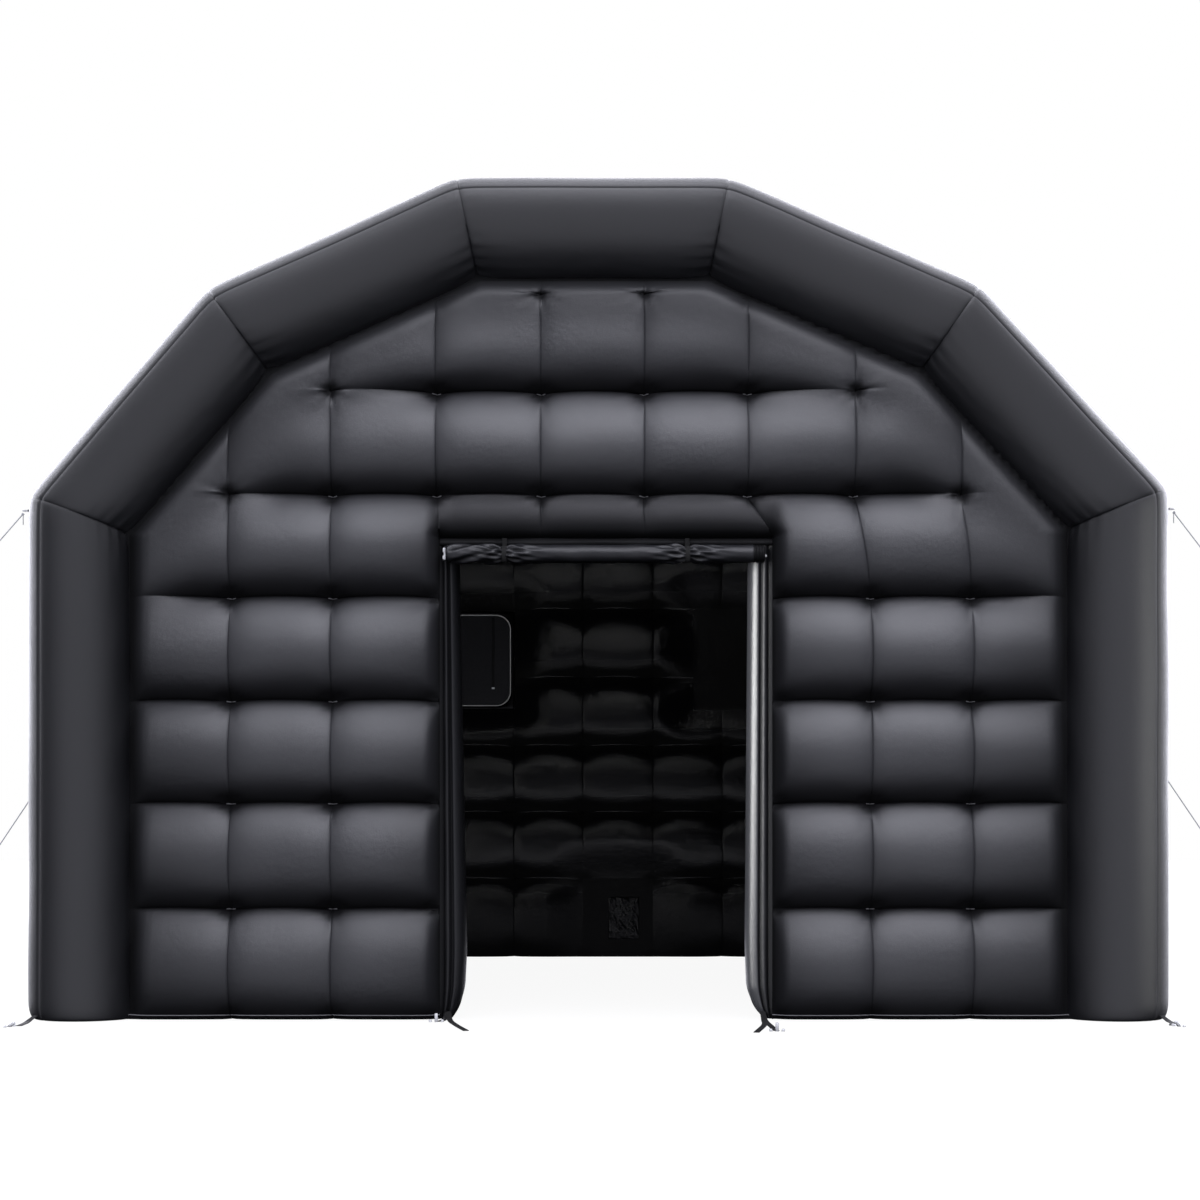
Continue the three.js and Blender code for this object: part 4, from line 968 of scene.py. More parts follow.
class TENT_OT_add_front_wall(Operator):
    """Adds the quilted front wall around the doorway"""

    bl_idname = "tent.add_front_wall"
    bl_label = "Add Front Wall"

    def execute(self, context):
        sizes = context.scene.tent_sizes
        left = next(i for i, s in enumerate(FRONT_SEAMS) if s["low"] == DOOR["left"])
        right = next(i for i, s in enumerate(FRONT_SEAMS) if s["low"] == DOOR["right"])
        lintel = line_number(FRONT_ROWS, DOOR["top"])
        piece = wall_piece(
            "front_wall_quilt", FRONT_ROWS, front_seam_at, len(FRONT_SEAMS) - 1, FRONT_Y,
            half_at=lambda x, z: np.full(x.shape, PANEL_HALF),
            rise_at=lambda x, z: (
                wall_edge_rise(x, z, sizes.edge_fade) * doorway_rise(x, z, sizes.edge_fade)),
            shade_at=front_shade,
            flats={"outside": [], "inside": []},
            openings=[(left, right, -1, lintel)],
            fixed={"rows": [lintel], "seams": []},
            sizes=sizes, seed=5)
        finish_padded(piece, ["front_wall_left", "front_wall_head", "front_wall_right"])
        lit_by("lit_high", piece)
        return {"FINISHED"}


class TENT_OT_add_back_wall(Operator):
    """Adds the quilted back wall around its window"""

    bl_idname = "tent.add_back_wall"
    bl_label = "Add Back Wall"

    def execute(self, context):
        sizes = context.scene.tent_sizes
        sill = line_number(BACK_ROWS, WINDOW["bottom"])
        lintel = line_number(BACK_ROWS, WINDOW["top"])
        left = line_number(BACK_SEAMS, WINDOW["left"])
        right = line_number(BACK_SEAMS, WINDOW["right"])

        def half_at(x, z):
            share = np.clip(box_distance(x, z, WINDOW) / WINDOW_TAPER, 0, 1)
            return WINDOW_EDGE_HALF + (PANEL_HALF - WINDOW_EDGE_HALF) * np.sqrt(share)

        piece = wall_piece(
            "back_wall_quilt", BACK_ROWS, lambda u, z: row_at(BACK_SEAMS, u), len(BACK_SEAMS) - 1, REAR_Y,
            half_at=half_at,
            rise_at=lambda x, z: wall_edge_rise(x, z, sizes.edge_fade),
            shade_at=back_shade,
            flats={"outside": [WINDOW], "inside": [WINDOW, BLANK_PANEL, FLAT_CELL]},
            openings=[(left, right, sill, lintel)],
            fixed={"rows": [sill, lintel], "seams": [left, right]},
            sizes=sizes, seed=25)
        nodes = [f"back_wall_{part}" for part in ("base", "left", "right", "head")]
        finish_padded(piece, nodes)
        lit_by("lit_inside", piece)
        return {"FINISHED"}


# Small parts

def route_through(places, step=0.012):
    """Even points on one smooth curve through a few places."""
    places = np.asarray(places, float)
    padded = np.concatenate([[2 * places[0] - places[1]], places, [2 * places[-1] - places[-2]]])
    fine = []
    for i in range(len(places) - 1):
        a, b, c, d = padded[i:i + 4]
        for t in np.linspace(0, 1, 24, endpoint=False):
            fine.append(0.5 * (2 * b + (c - a) * t + (2 * a - 5 * b + 4 * c - d) * t ** 2
                               + (3 * b - a - 3 * c + d) * t ** 3))
    fine = np.array(fine + [places[-1]])
    run = np.concatenate([[0], np.cumsum(np.linalg.norm(np.diff(fine, axis=0), axis=1))])
    even = np.linspace(0, run[-1], max(4, round(run[-1] / step)) + 1)
    return np.stack([np.interp(even, run, fine[:, i]) for i in range(3)], axis=1)


def frames_along(route, up=(0, 0, 1)):
    """Run, side and up directions at each point of a route."""
    run = np.gradient(route, axis=0)
    run /= np.linalg.norm(run, axis=1)[:, None]
    side = np.cross(run, up)
    side /= np.linalg.norm(side, axis=1)[:, None]
    return run, side, np.cross(side, run)


def add_shapes(name, shapes, material):
    """One piece from several shapes, each with its points, faces and places on its cloth."""
    faces, count = [], 0
    for points, shape_faces, _ in shapes:
        faces += [[i + count for i in face] for face in shape_faces]
        count += len(points)
    points, uv = (np.concatenate([shape[i] for shape in shapes]) for i in (0, 2))
    return add_mesh(name, points, faces, [material], uv)


STRIP_SECTION = (
    (-1, 0.5), (-0.97, 0.9), (-0.88, 1), (-0.4, 1), (0, 1), (0.4, 1), (0.88, 1), (0.97, 0.9),
    (1, 0.5), (0.97, 0.1), (0.88, 0), (0, 0), (-0.88, 0), (-0.97, 0.1),
)


def strip_shape(places, width, thickness, up=(0, 0, 1), step=0.012):
    """A flat webbing strip that follows a route on its underside."""
    route = route_through(places, step)
    run, side, above = frames_along(route, up)
    rings = np.stack([
        route + side * (width / 2 * across) + above * (thickness * level)
        for across, level in STRIP_SECTION
    ], axis=1)
    uv = np.stack([
        np.broadcast_to([across * width / 2 for across, _ in STRIP_SECTION], rings.shape[:2]),
        np.broadcast_to((np.arange(len(route)) * step)[:, None], rings.shape[:2]),
    ], axis=-1).reshape(-1, 2)
    return *tube_shape(rings), uv


def rope_shape(route, radius, sides=10):
    """A round cord along a route."""
    run, side, above = frames_along(route, (0.13, 0.31, 0.94))
    turns = np.arange(sides) * 2 * math.pi / sides
    rings = np.stack([route + radius * (side * math.cos(a) + above * math.sin(a)) for a in turns], axis=1)
    return *tube_shape(rings), tube_uv(rings)


def finish_piece(piece, nodes=()):
    """Gives a piece its body and the nodes that it stands for."""
    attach(piece, "root")
    if nodes:
        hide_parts(*nodes)
    return piece


def deselect():
    """Leaves nothing selected, in object mode."""
    if bpy.context.object and bpy.context.object.mode != "OBJECT":
        bpy.ops.object.mode_set(mode="OBJECT")
    bpy.ops.object.select_all(action="DESELECT")


def round_edges(piece, width, segments, angle=None):
    """Rounds a piece's edges, all of them or those sharper than an angle."""
    soften = piece.modifiers.new("edges", "BEVEL")
    soften.width = width
    soften.segments = segments
    if angle:
        soften.limit_method = "ANGLE"
        soften.angle_limit = angle
    bpy.ops.object.modifier_apply(modifier=soften.name)


def add_block(size, place, bevel, segments=2):
    """A block with rounded edges."""
    deselect()
    bpy.ops.mesh.primitive_cube_add(size=1, location=place)
    bpy.ops.transform.resize(value=size)
    bpy.ops.object.transform_apply(location=True, rotation=True, scale=True)
    round_edges(bpy.context.object, bevel, segments)
    return bpy.context.object


def add_ring(radius, wire, place):
    """A level ring of round wire."""
    deselect()
    bpy.ops.mesh.primitive_torus_add(
        major_radius=radius, minor_radius=wire, major_segments=40, minor_segments=10, location=place)
    bpy.ops.object.transform_apply(location=True, rotation=True, scale=True)
    return bpy.context.object


def join_parts(name, parts, material):
    """Joins parts into one piece at the origin, smooth apart from its sharp edges."""
    deselect()
    for part in parts:
        part.select_set(True)
    bpy.context.view_layer.objects.active = parts[0]
    if len(parts) > 1:
        bpy.ops.object.join()
    piece = bpy.context.object
    piece.name = name
    piece.data.materials.clear()
    piece.data.materials.append(material_named(material))
    bpy.ops.object.shade_smooth_by_angle(angle=math.radians(35))
    deselect()
    return piece


def place_piece(piece, turn, place):
    """Turns a piece's mesh about the vertical and moves it to its place."""
    piece.data.transform(Matrix.Translation(place) @ Matrix.Rotation(turn, 4, "Z"))
    piece.data.update()


# Guys: a webbing tab with its ring on each front post, and a taut rope to a knotted eye

GUYS = (
    {"name": "upper_left", "side": -1, "turn": 0, "height": 2.23, "end": (-2.694, -2.26, 2.034)},
    {"name": "upper_right", "side": 1, "turn": 0, "height": 2.238, "end": (2.704, -2.26, 2.002)},
    {"name": "lower_left", "side": -1, "turn": 40, "height": 1.1, "end": (-2.748, -2.08, 0.677)},
    {"name": "lower_right", "side": 1, "turn": 40, "height": 1.188, "end": (2.762, -2.08, 0.75)},
)
POST_X = 2.26
PIECE_GAP = 0.0003
TAB = {"width": 0.026, "height": 0.046, "thickness": 0.003, "loop": 0.009}
RING = {"radius": 0.013, "wire": 0.0025}
RING_OUT = TUBE_RADIUS + PIECE_GAP + TAB["thickness"] + TAB["loop"] + RING["radius"] - RING["wire"]
ROPE = {"radius": 0.0025, "knot": 0.007, "knot_pitch": 0.0021875, "eye": 0.013, "tail": 0.05}
HITCH = {"radius": 0.0045, "pitch": 0.002}
GROUND_GAP = 0.0002


def guy_tab(guy):
    """The webbing tab on a front post, and the ring in its loop."""
    face = TUBE_RADIUS + PIECE_GAP
    thick, wide, loop = TAB["thickness"], TAB["width"], TAB["loop"]
    patch = add_block((thick, wide, TAB["height"]), (face + thick / 2, 0, 0), 0.001)
    fold = add_block((loop, wide, loop), (face + thick + loop / 2, 0, 0), 0.003, 3)
    tab = join_parts(f"guy_tab_piece_{guy['name']}", [patch, fold], "webbing")
    ring = add_ring(RING["radius"], RING["wire"], (RING_OUT, 0, 0))
    ring = join_parts(f"guy_ring_{guy['name']}", [ring], "white_plastic")
    angle = math.radians(guy["turn"] if guy["side"] > 0 else 180 - guy["turn"])
    for piece in (tab, ring):
        place_piece(piece, angle, (guy["side"] * POST_X, FRONT_Y, guy["height"]))
    finish_piece(tab, [f"guy_tab_{guy['name']}"])
    finish_piece(ring)


def coil(start, along, across, pitch, radius, turns, count):
    """Points of a cord wound around a rope, which moves on by the pitch every half turn."""
    beside = np.array((0, 1, 0))
    return np.array([
        start + along * (pitch * a / math.pi) + radius * (across * math.cos(a) + beside * math.sin(a))
        for a in np.linspace(0, 2 * math.pi * turns, count)])


def guy_rope(guy):
    """The taut rope from a ring to its knotted eye. The upper ones show their hitch and its loose tail."""
    angle, radius = math.radians(guy["turn"]), ROPE["radius"]
    ring = Vector((guy["side"] * (POST_X + RING_OUT * math.cos(angle)),
                   FRONT_Y + RING_OUT * math.sin(angle), guy["height"]))
    end = Vector(guy["end"]) + Vector((0, MIDDLE_Y, 0))
    along = (end - ring).normalized()
    start = ring + along * (RING["radius"] + RING["wire"] + PIECE_GAP)
    route = np.array([start.lerp(end, i / 24) for i in range(25)])
    rope = add_shapes(f"guy_line_{guy['name']}", [rope_shape(route, radius)], "rope_yarn")
    run, across = np.array(along), np.array(along.cross((0, 1, 0)).normalized())
    centre = np.array(end + along * (ROPE["eye"] + ROPE["knot"] - 0.002))
    turns = np.linspace(0, 2 * math.pi, 33)
    eye = np.array([centre + ROPE["eye"] * (run * math.cos(a) + across * math.sin(a)) for a in turns])
    pitch = ROPE["knot_pitch"]
    knot = coil(np.array(end) - 3 * pitch * run, run, across, pitch, ROPE["knot"] - 0.6 * radius, 3, 60)
    shapes = [rope_shape(eye, radius), rope_shape(knot, 0.8 * radius)]
    if guy["turn"] == 0:
        tail = np.array([start + Vector((0, -0.004, -ROPE["tail"] * i / 10)) for i in range(11)])
        hitch = coil(np.array(start), run, across, HITCH["pitch"], HITCH["radius"], 2, 40)
        shapes += [rope_shape(tail, 0.8 * radius), rope_shape(hitch, 0.7 * radius)]
    eye_piece = add_shapes(f"guy_eye_{guy['name']}", shapes, "rope_yarn")
    finish_piece(eye_piece)
    finish_piece(rope, [f"guy_rope_{guy['name']}"])


# Anchors: webbing from each foot along the ground to the head of a driven peg

STRAP = {"width": 0.025, "thickness": 0.003}
PEG = {
    "arch": 0.0265, "grip": 0.0065, "grip_rounding": 0.003, "sharp": math.radians(50), "height": 0.044,
    "neck": (0.014, 0.012), "neck_rounding": 0.004, "sunk": 0.02}
ANCHORS = (
    {"name": "front_left",
     "routes": [[(-2.431, -2.431, 0.02), (-2.446, -2.48, 0.002), (-2.436, -2.56, 0), (-2.428, -2.676, 0)]],
     "peg": {"place": (-2.462, -2.706), "turn": 62, "lean": 58}},
    {"name": "front_right",
     "routes": [[(2.431, -2.431, 0.02), (2.446, -2.48, 0.002), (2.44, -2.56, 0), (2.41, -2.652, 0)]],
     "peg": {"place": (2.43, -2.69), "turn": -50, "lean": 50}},
    {"name": "door_left",
     "routes": [[(-0.655, -2.349, 0.03), (-0.64, -2.44, 0.002), (-0.6, -2.64, 0), (-0.541, -2.883, 0)],
                [(-0.655, -2.349, 0.03), (-0.668, -2.42, 0.002), (-0.692, -2.48, 0)]],
     "peg": {"place": (-0.695, -2.494), "turn": 0, "lean": 0}},
    {"name": "door_right",
     "routes": [[(0.716, -2.344, 0.03), (0.714, -2.44, 0.002), (0.698, -2.64, 0), (0.64, -2.952, 0)],
                [(0.716, -2.344, 0.03), (0.718, -2.44, 0.002), (0.722, -2.7, 0), (0.727, -2.886, 0)]],
     "peg": {"place": (0.728, -2.9), "turn": 0, "lean": 8}},
    {"name": "rear_left",
     "routes": [[(-2.431, 2.431, 0.02), (-2.446, 2.48, 0.002), (-2.44, 2.66, 0), (-2.43, 2.92, 0)]],
     "peg": {"place": (-2.426, 2.945), "turn": 180, "lean": 0}},
    {"name": "rear_right",
     "routes": [[(2.431, 2.431, 0.02), (2.446, 2.48, 0.002), (2.44, 2.66, 0), (2.43, 2.92, 0)]],
     "peg": {"place": (2.426, 2.945), "turn": 180, "lean": 0}},
)


def anchor_strap(anchor):
    """The webbing of an anchor, one strip for each of its routes."""
    shapes = []
    for route in anchor["routes"]:
        lifted = [(x, y + MIDDLE_Y, max(z, GROUND_GAP)) for x, y, z in route]
        shapes.append(strip_shape(lifted, STRAP["width"], STRAP["thickness"], step=0.008))
    piece = add_shapes(f"anchor_webbing_{anchor['name']}", shapes, "webbing")
    finish_piece(piece, [f"anchor_strap_{anchor['name']}"])


def anchor_peg(anchor):
    """A peg's arched head on its neck, driven into the ground and cut off level with it."""
    deselect()
    top = PEG["height"] - PEG["grip"]
    middle = top - PEG["arch"]
    bpy.ops.mesh.primitive_circle_add(
        vertices=14, radius=PEG["grip"], fill_type="NGON", location=(PEG["arch"], 0, middle))
    bpy.ops.object.mode_set(mode="EDIT")
    bpy.ops.mesh.select_all(action="SELECT")
    bpy.ops.mesh.spin(steps=18, angle=-math.pi, center=(0, 0, middle), axis=(0, 1, 0))
    bpy.ops.mesh.select_all(action="SELECT")
    bpy.ops.mesh.normals_make_consistent(inside=False)
    bpy.ops.object.mode_set(mode="OBJECT")
    grip = bpy.context.object
    bpy.ops.object.transform_apply(location=True, rotation=True, scale=True)
    round_edges(grip, PEG["grip_rounding"], 3, PEG["sharp"])
    size, place = (*PEG["neck"], top + PEG["sunk"]), (0, 0, (top - PEG["sunk"]) / 2)
    neck = add_block(size, place, PEG["neck_rounding"], 3)
    piece = join_parts(f"peg_{anchor['name']}", [grip, neck], "white_plastic")
    peg = anchor["peg"]
    piece.data.transform(Matrix.Rotation(math.radians(peg["lean"]), 4, "X"))
    x, y = peg["place"]
    place_piece(piece, math.radians(peg["turn"]), (x, y + MIDDLE_Y, 0))
    deselect()
    piece.select_set(True)
    bpy.context.view_layer.objects.active = piece
    bpy.ops.object.mode_set(mode="EDIT")
    bpy.ops.mesh.select_all(action="SELECT")
    bpy.ops.mesh.bisect(plane_co=(0, 0, GROUND_GAP), plane_no=(0, 0, 1), use_fill=True, clear_inner=True)
    bpy.ops.object.mode_set(mode="OBJECT")
    finish_piece(piece, [f"anchor_peg_{anchor['name']}"])


# Doorway

# A gusset's height, its reach on the left and on the right, and how much thinner than the wall it is
JAMB_SHAPES = (
    (0.0, 0.046, 0.03, 0.022), (0.045, 0.078, 0.072, 0.008), (0.13, 0.102, 0.104, 0.0),
    (0.3, 0.112, 0.112, 0.0), (1.0, 0.098, 0.106, 0.0), (2.0617, 0.077, 0.098, 0.0),
)
# Lines along its front: their place as a share of its reach, their width as one, and their depth
JAMB_LINES = {"groove": (0.49, 0.07, 0.011), "piping": (0.33, 0.06, -0.003), "fold": (0.16, 0.05, 0.006)}
JAMB = {"square": 0.6, "foot": 0.09, "gathers": 0.0035, "end": 0.02, "end_share": 0.86}
# Painted shade on the gussets: in the groove, over the front, less on the piping, more at the fold, and over
# all of the left one
JAMB_SHADE = {"groove": 0.9, "front": 0.8, "piping": 0.3, "fold": 0.15, "left": 0.5}
# Painted shade over the header hem's front, left lighter along its top edge as a painted highlight and darker
# along its foot
HEADER_SHADE = {"front": 0.66, "top": 0.6, "low": 0.3}
HEADER = {
    "height": 0.035, "proud": 0.006, "fold": 0.0014, "sag": 0.00125, "pull": 0.006, "pull_reach": 0.05}
ROLL = {"left": -0.66, "right": 0.721, "radius": 0.039, "height": 2.019, "round": 0.006, "end": 0.012}
ROLL_Y = FRONT_Y - PANEL_HALF - ROLL["radius"] - 0.003
TIES = {"left": -0.408, "right": 0.386}
TIE = {"width": 0.02, "thickness": 0.003, "pinch": 0.008, "under": 0.0006, "reach": 0.028}
TIE_SECTION = (
    (-1, 0.15), (-0.92, 0), (0.92, 0), (1, 0.15), (1, 0.85), (0.92, 1), (0, 1.12), (-0.92, 1), (-1, 0.85))
# The shade entries of the cuff, the ties' folds and the loose folds are painted shade
CUFF = {"left": 0.668, "pitch": 0.013, "drawn": 0.004, "rib": 0.0028, "shade": 0.85}
TIE_FOLDS = {"depth": 0.0046, "reach": 0.035, "twist": 30, "shade": 0.8, "dark": 0.012}
LOOSE_FOLDS = {"depth": 0.0042, "reach": 0.08, "from_end": 0.03, "shade": 0.6}
# The clip's plate and its two lugs: their size, how far out and up they are, and their rounding
CLIP = (
    ((0.009, 0.02, 0.052), 0.002, 0, 0.003),
    ((0.013, 0.024, 0.021), 0, 0.016, 0.005),
    ((0.014, 0.024, 0.019), 0.0002, -0.016, 0.005),
)
CLIP_X = ROLL["left"] - PIECE_GAP - 0.0075
TOGGLE = {"x": 0.7225, "ahead": 0.02, "height": 2.008, "radius": 0.006, "width": 0.8}
ROLL_UNEVEN = {"depth": 0.0008, "size": 0.12, "around": 0.04}
LAP = {"place": 4.1, "sway": 0.35, "width": 0.12, "depth": 0.0022}


def door_jamb(side):
    """The puffed gusset on one side of the doorway, with a piped groove along its front."""
    column, inward = (1, 1) if side == "left" else (2, -1)
    heights = np.array([row[0] for row in JAMB_SHAPES])
    top = heights[-1]
    shoulder = top - JAMB["end"]
    z = np.unique(np.concatenate([
        np.linspace(0, 0.16, 17), np.linspace(0.16, shoulder, 60), np.linspace(shoulder, top, 6)]))
    reach = np.interp(z, heights, [row[column] for row in JAMB_SHAPES])
    narrow = np.interp(z, heights, [row[3] for row in JAMB_SHAPES])
    reach = np.where((z > 0.02) & (z < 2.0), np.convolve(reach, np.ones(5) / 5, "same"), reach)
    end = np.clip((top - z) / JAMB["end"], 0, 1)
    closing = np.sqrt(1 - (1 - end) ** 2) * (1 - JAMB["end_share"]) + JAMB["end_share"]
    angle, height = np.meshgrid(np.linspace(-1, 1, 121) * math.pi / 2, z)
    reach = np.interp(height, z, reach)
    cosine = np.clip(np.cos(angle), 0, None) ** JAMB["square"]
    sine = np.sign(angle) * np.abs(np.sin(angle)) ** JAMB["square"]
    from_wall = reach * np.interp(height, z, closing) * cosine
    share = from_wall / reach
    ahead = angle < 0
    deep = (PANEL_HALF - np.interp(height, z, narrow)) * sine
    lines = {}
    for name, (place, width, depth) in JAMB_LINES.items():
        lines[name] = bump(share - place, width) * ahead
        deep = deep + depth * lines[name]
    gathers = JAMB["gathers"] * np.clip(1 - height / JAMB["foot"], 0, 1) * np.cos(26 * angle + 5 * height)
    x = DOOR[side] + inward * (PIECE_GAP + np.maximum(from_wall + gathers * cosine, 0))
    points = np.stack([x, FRONT_Y + deep, height], axis=-1)
    # Painted shade: dark in the groove and over the front; the left gusset is darkened all over as painted
    # shade
    front = JAMB_SHADE["front"] - JAMB_SHADE["piping"] * lines["piping"] + JAMB_SHADE["fold"] * lines["fold"]
    front = front * (share < JAMB_LINES["groove"][0]) * ahead
    crease = np.maximum(JAMB_SHADE["groove"] * lines["groove"], front)
    if side == "left":
        crease = np.maximum(crease, JAMB_SHADE["left"])
    piece = add_tube(f"door_gusset_{side}", points, "cloth_gusset", crease)
    if side == "right":
        lit_by("lit_low", piece)
    finish_padded(piece, [f"door_jamb_{side}"])


def door_header():
    """The hem along the top of the doorway, pulled out a little by the ties of the roll."""
    high = DOOR["top"] - PIECE_GAP
    low = high - HEADER["height"]
    front, back = FRONT_Y - PANEL_HALF - HEADER["proud"], FRONT_Y + PANEL_HALF
    section = [(front + 0.012, high), (front + 0.004, high - 0.0015), (front, high - 0.006),
               (front + 0.002, high - 0.011), (front + 0.001, high - 0.018), (front, low + 0.008),
               (front + 0.003, low + 0.002), (front + 0.01, low), (front + 0.1, low), (back, low),
               (back, high), (front + 0.1, high)]
    rings = []
    for place in np.linspace(DOOR["left"], DOOR["right"], 220):
        fold = ripples(place, 0.0, 0.5, 3)
        pull = sum(bump(place - tie, HEADER["pull_reach"]) for tie in TIES.values())
        out = HEADER["fold"] * fold - HEADER["pull"] * pull
        sag = HEADER["sag"] * (1 + fold)
        rings.append([
            (place, y - out * (y < front + 0.006), z - sag * (z < high - 0.012 and y < front + 0.02))
            for y, z in section])
    rings = np.array(rings)
    # Painted shade on the hem: its front dark, its top edge lighter as a painted highlight, its foot darker
    level = rings[:, :, 2]
    top, foot = HEADER_SHADE["top"] * (level > high - 0.004), HEADER_SHADE["low"] * (level < low + 0.009)
    crease = np.clip(HEADER_SHADE["front"] - top + foot, 0, 1)
    piece = add_tube("door_header_hem", rings, "cloth_flap", crease)
    lit_by("lit_high", piece)
    finish_padded(piece, ["door_header"])


def door_roll():
    """The rolled-up flap, drawn in by its ties and gathered into a cuff at its right end."""
    x = np.unique(np.round(np.concatenate([
        np.linspace(ROLL["left"], ROLL["right"], 300),
        *[np.linspace(tie - 0.06, tie + 0.06, 60) for tie in TIES.values()],
        np.linspace(CUFF["left"] - 0.01, ROLL["right"], 50)]), 5))
    place, angle = np.meshgrid(x, np.arange(72) * 2 * math.pi / 72, indexing="ij")
    radius = np.full(place.shape, ROLL["radius"])
    # Painted shade: around each tie, in the troughs of the folds and over the gathered cuff
    crease = np.zeros(place.shape)
    for i, tie in enumerate(TIES.values()):
        away = np.abs(place - tie)
        radius -= (TIE["pinch"] + TIE["under"]) * np.clip(1.25 * bump(away, TIE["reach"]), 0, 1)
        twist = TIE_FOLDS["twist"] * (place - tie)
        folds = np.cos(7 * angle + twist + i) + 0.7 * np.cos(11 * angle - 1.6 * twist + 2 * i)
        fade = (away / TIE_FOLDS["reach"]) * np.exp(1 - away / TIE_FOLDS["reach"])
        radius += TIE_FOLDS["depth"] * folds * fade
        crease += TIE_FOLDS["shade"] * (bump(away, TIE_FOLDS["dark"]) + np.clip(-folds, 0, 1) * fade)
    loose = np.clip((TIES["left"] - place) / LOOSE_FOLDS["reach"], 0, 1)
    loose = loose * np.clip((place - ROLL["left"]) / LOOSE_FOLDS["from_end"], 0, 1)
    twisted = np.cos(4 * angle + 42 * place) + 0.5 * np.cos(7 * angle + 63 * place)
    radius += LOOSE_FOLDS["depth"] * loose * twisted
    crease += LOOSE_FOLDS["shade"] * loose * np.clip(-twisted, 0, 1)
    cuff = np.clip((place - CUFF["left"]) / 0.004, 0, 1)
    crease = np.clip(np.maximum(crease, CUFF["shade"] * cuff), 0, MOST_SHADE)
    ribs = np.abs(np.sin(math.pi * (place - CUFF["left"]) / CUFF["pitch"]))
    radius += cuff * (CUFF["rib"] * ribs - CUFF["drawn"])
    uneven = ripples(place, angle * ROLL_UNEVEN["around"], ROLL_UNEVEN["size"], 77)
    radius += ROLL_UNEVEN["depth"] * uneven * (1 - cuff)
    lap = (angle - LAP["place"] - LAP["sway"] * ripples(place, 0 * place, 0.8, 8)) / LAP["width"]
    radius += LAP["depth"] * np.clip(-lap, 0, 1) * np.exp(-np.clip(-lap, 0, None) / 8) * (1 - cuff)
    ends = np.minimum(place - ROLL["left"], ROLL["right"] - place)
    radius -= ROLL["round"] * (1 - np.sqrt(1 - np.clip(1 - ends / ROLL["end"], 0, 1) ** 2))
    points = np.stack([
        place, ROLL_Y + radius * np.cos(angle), ROLL["height"] + radius * np.sin(angle)], axis=-1)
    piece = add_tube("door_flap_roll", points, "cloth_flap", crease)
    lit_by("lit_high", piece)
    finish_padded(piece, ["door_roll"])


def roll_tie(side):
    """A flat band around the roll, and the strip that sews it to the header."""
    x = TIES[side]
    radius = ROLL["radius"] - TIE["pinch"] + PIECE_GAP
    rings = np.array([[
        (x + across * TIE["width"] / 2, ROLL_Y + (radius + level * TIE["thickness"]) * math.cos(a),
         ROLL["height"] + (radius + level * TIE["thickness"]) * math.sin(a))
        for across, level in TIE_SECTION] for a in np.linspace(0, 2 * math.pi, 49)[:-1]])
    band = (*tube_shape(rings, looped=True), tube_uv(rings))
    face_y = FRONT_Y - PANEL_HALF - HEADER["proud"] - 2 * PIECE_GAP
    top = ROLL["height"] + radius
    hang = [(x, face_y, DOOR["top"] - 0.004), (x, face_y, top + 0.016), (x, face_y - 0.006, top + 0.006),
            (x, ROLL_Y + 0.012, top + 0.0015)]
    strip = strip_shape(hang, TIE["width"], TIE["thickness"], up=(0, -1, 0.2), step=0.005)
    piece = add_shapes(f"roll_tie_{side}", [band, strip], "webbing")
    finish_piece(piece, [f"door_roll_tie_{side}"])


def roll_clip():
    """The white clip on the left end of the roll, and the small toggle at its right end."""
    parts = [
        add_block(size, (CLIP_X + out, ROLL_Y, ROLL["height"] + up), rounding, 3)
        for size, out, up, rounding in CLIP
    ]
    finish_piece(join_parts("roll_clip", parts, "white_plastic"), ["door_roll_clip"])
    deselect()
    bpy.ops.mesh.primitive_uv_sphere_add(
        segments=16, ring_count=10, radius=TOGGLE["radius"],
        location=(TOGGLE["x"], ROLL_Y - TOGGLE["ahead"], TOGGLE["height"]))
    bpy.ops.transform.resize(value=(TOGGLE["width"], 1, 1))
    bpy.ops.object.transform_apply(location=True, rotation=True, scale=True)
    finish_piece(join_parts("roll_toggle", [bpy.context.object], "white_plastic"))


# Back window and sleeve patch

BINDING = {"width": 0.03, "corner": 0.095, "square": 0.6, "sides": 20}
PIPING = {"radius": 0.004, "out": 0.0015, "deep": 0.8}
NET = {"thickness": 0.003, "proud": 0.008, "bow": 0.003}
NET_Y = REAR_Y - NET["proud"] - NET["thickness"] / 2
PULL = {"x": -0.712, "top": 2.275, "bottom": 1.8, "width": 0.018, "thickness": 0.002}
PATCH = {
    "left": 0.062, "right": 0.268, "bottom": 0.118, "top": 0.4, "thickness": 0.004, "crease": 0.012,
    "edge": 0.02, "sway": 0.003}


def window_outline(inset, corner, steps=10, straight=14):
    """Points around the window, rounded at its corners, and the turn outwards at each."""
    left, right = WINDOW["left"] + inset + corner, WINDOW["right"] - inset - corner
    bottom, top = WINDOW["bottom"] + inset + corner, WINDOW["top"] - inset - corner
    points = [
        (x, z, math.radians(start + 90 * i / steps))
        for x, z, start in ((right, bottom, -90), (right, top, 0), (left, top, 90), (left, bottom, 180))
        for i in range(steps + 1)]
    path = []
    for (x0, z0, turn), (x1, z1, _) in zip(points, points[1:] + points[:1]):
        count = 1 if (x0, z0) == (x1, z1) else straight
        path += [(x0 + (x1 - x0) * i / count, z0 + (z1 - z0) * i / count, turn) for i in range(count)]
    return np.array([
        (x + corner * math.cos(turn), z + corner * math.sin(turn), turn) for x, z, turn in path])


def rounded(share):
    """A cosine or sine with its round drawn out to a soft square."""
    return math.copysign(abs(share) ** BINDING["square"], share)


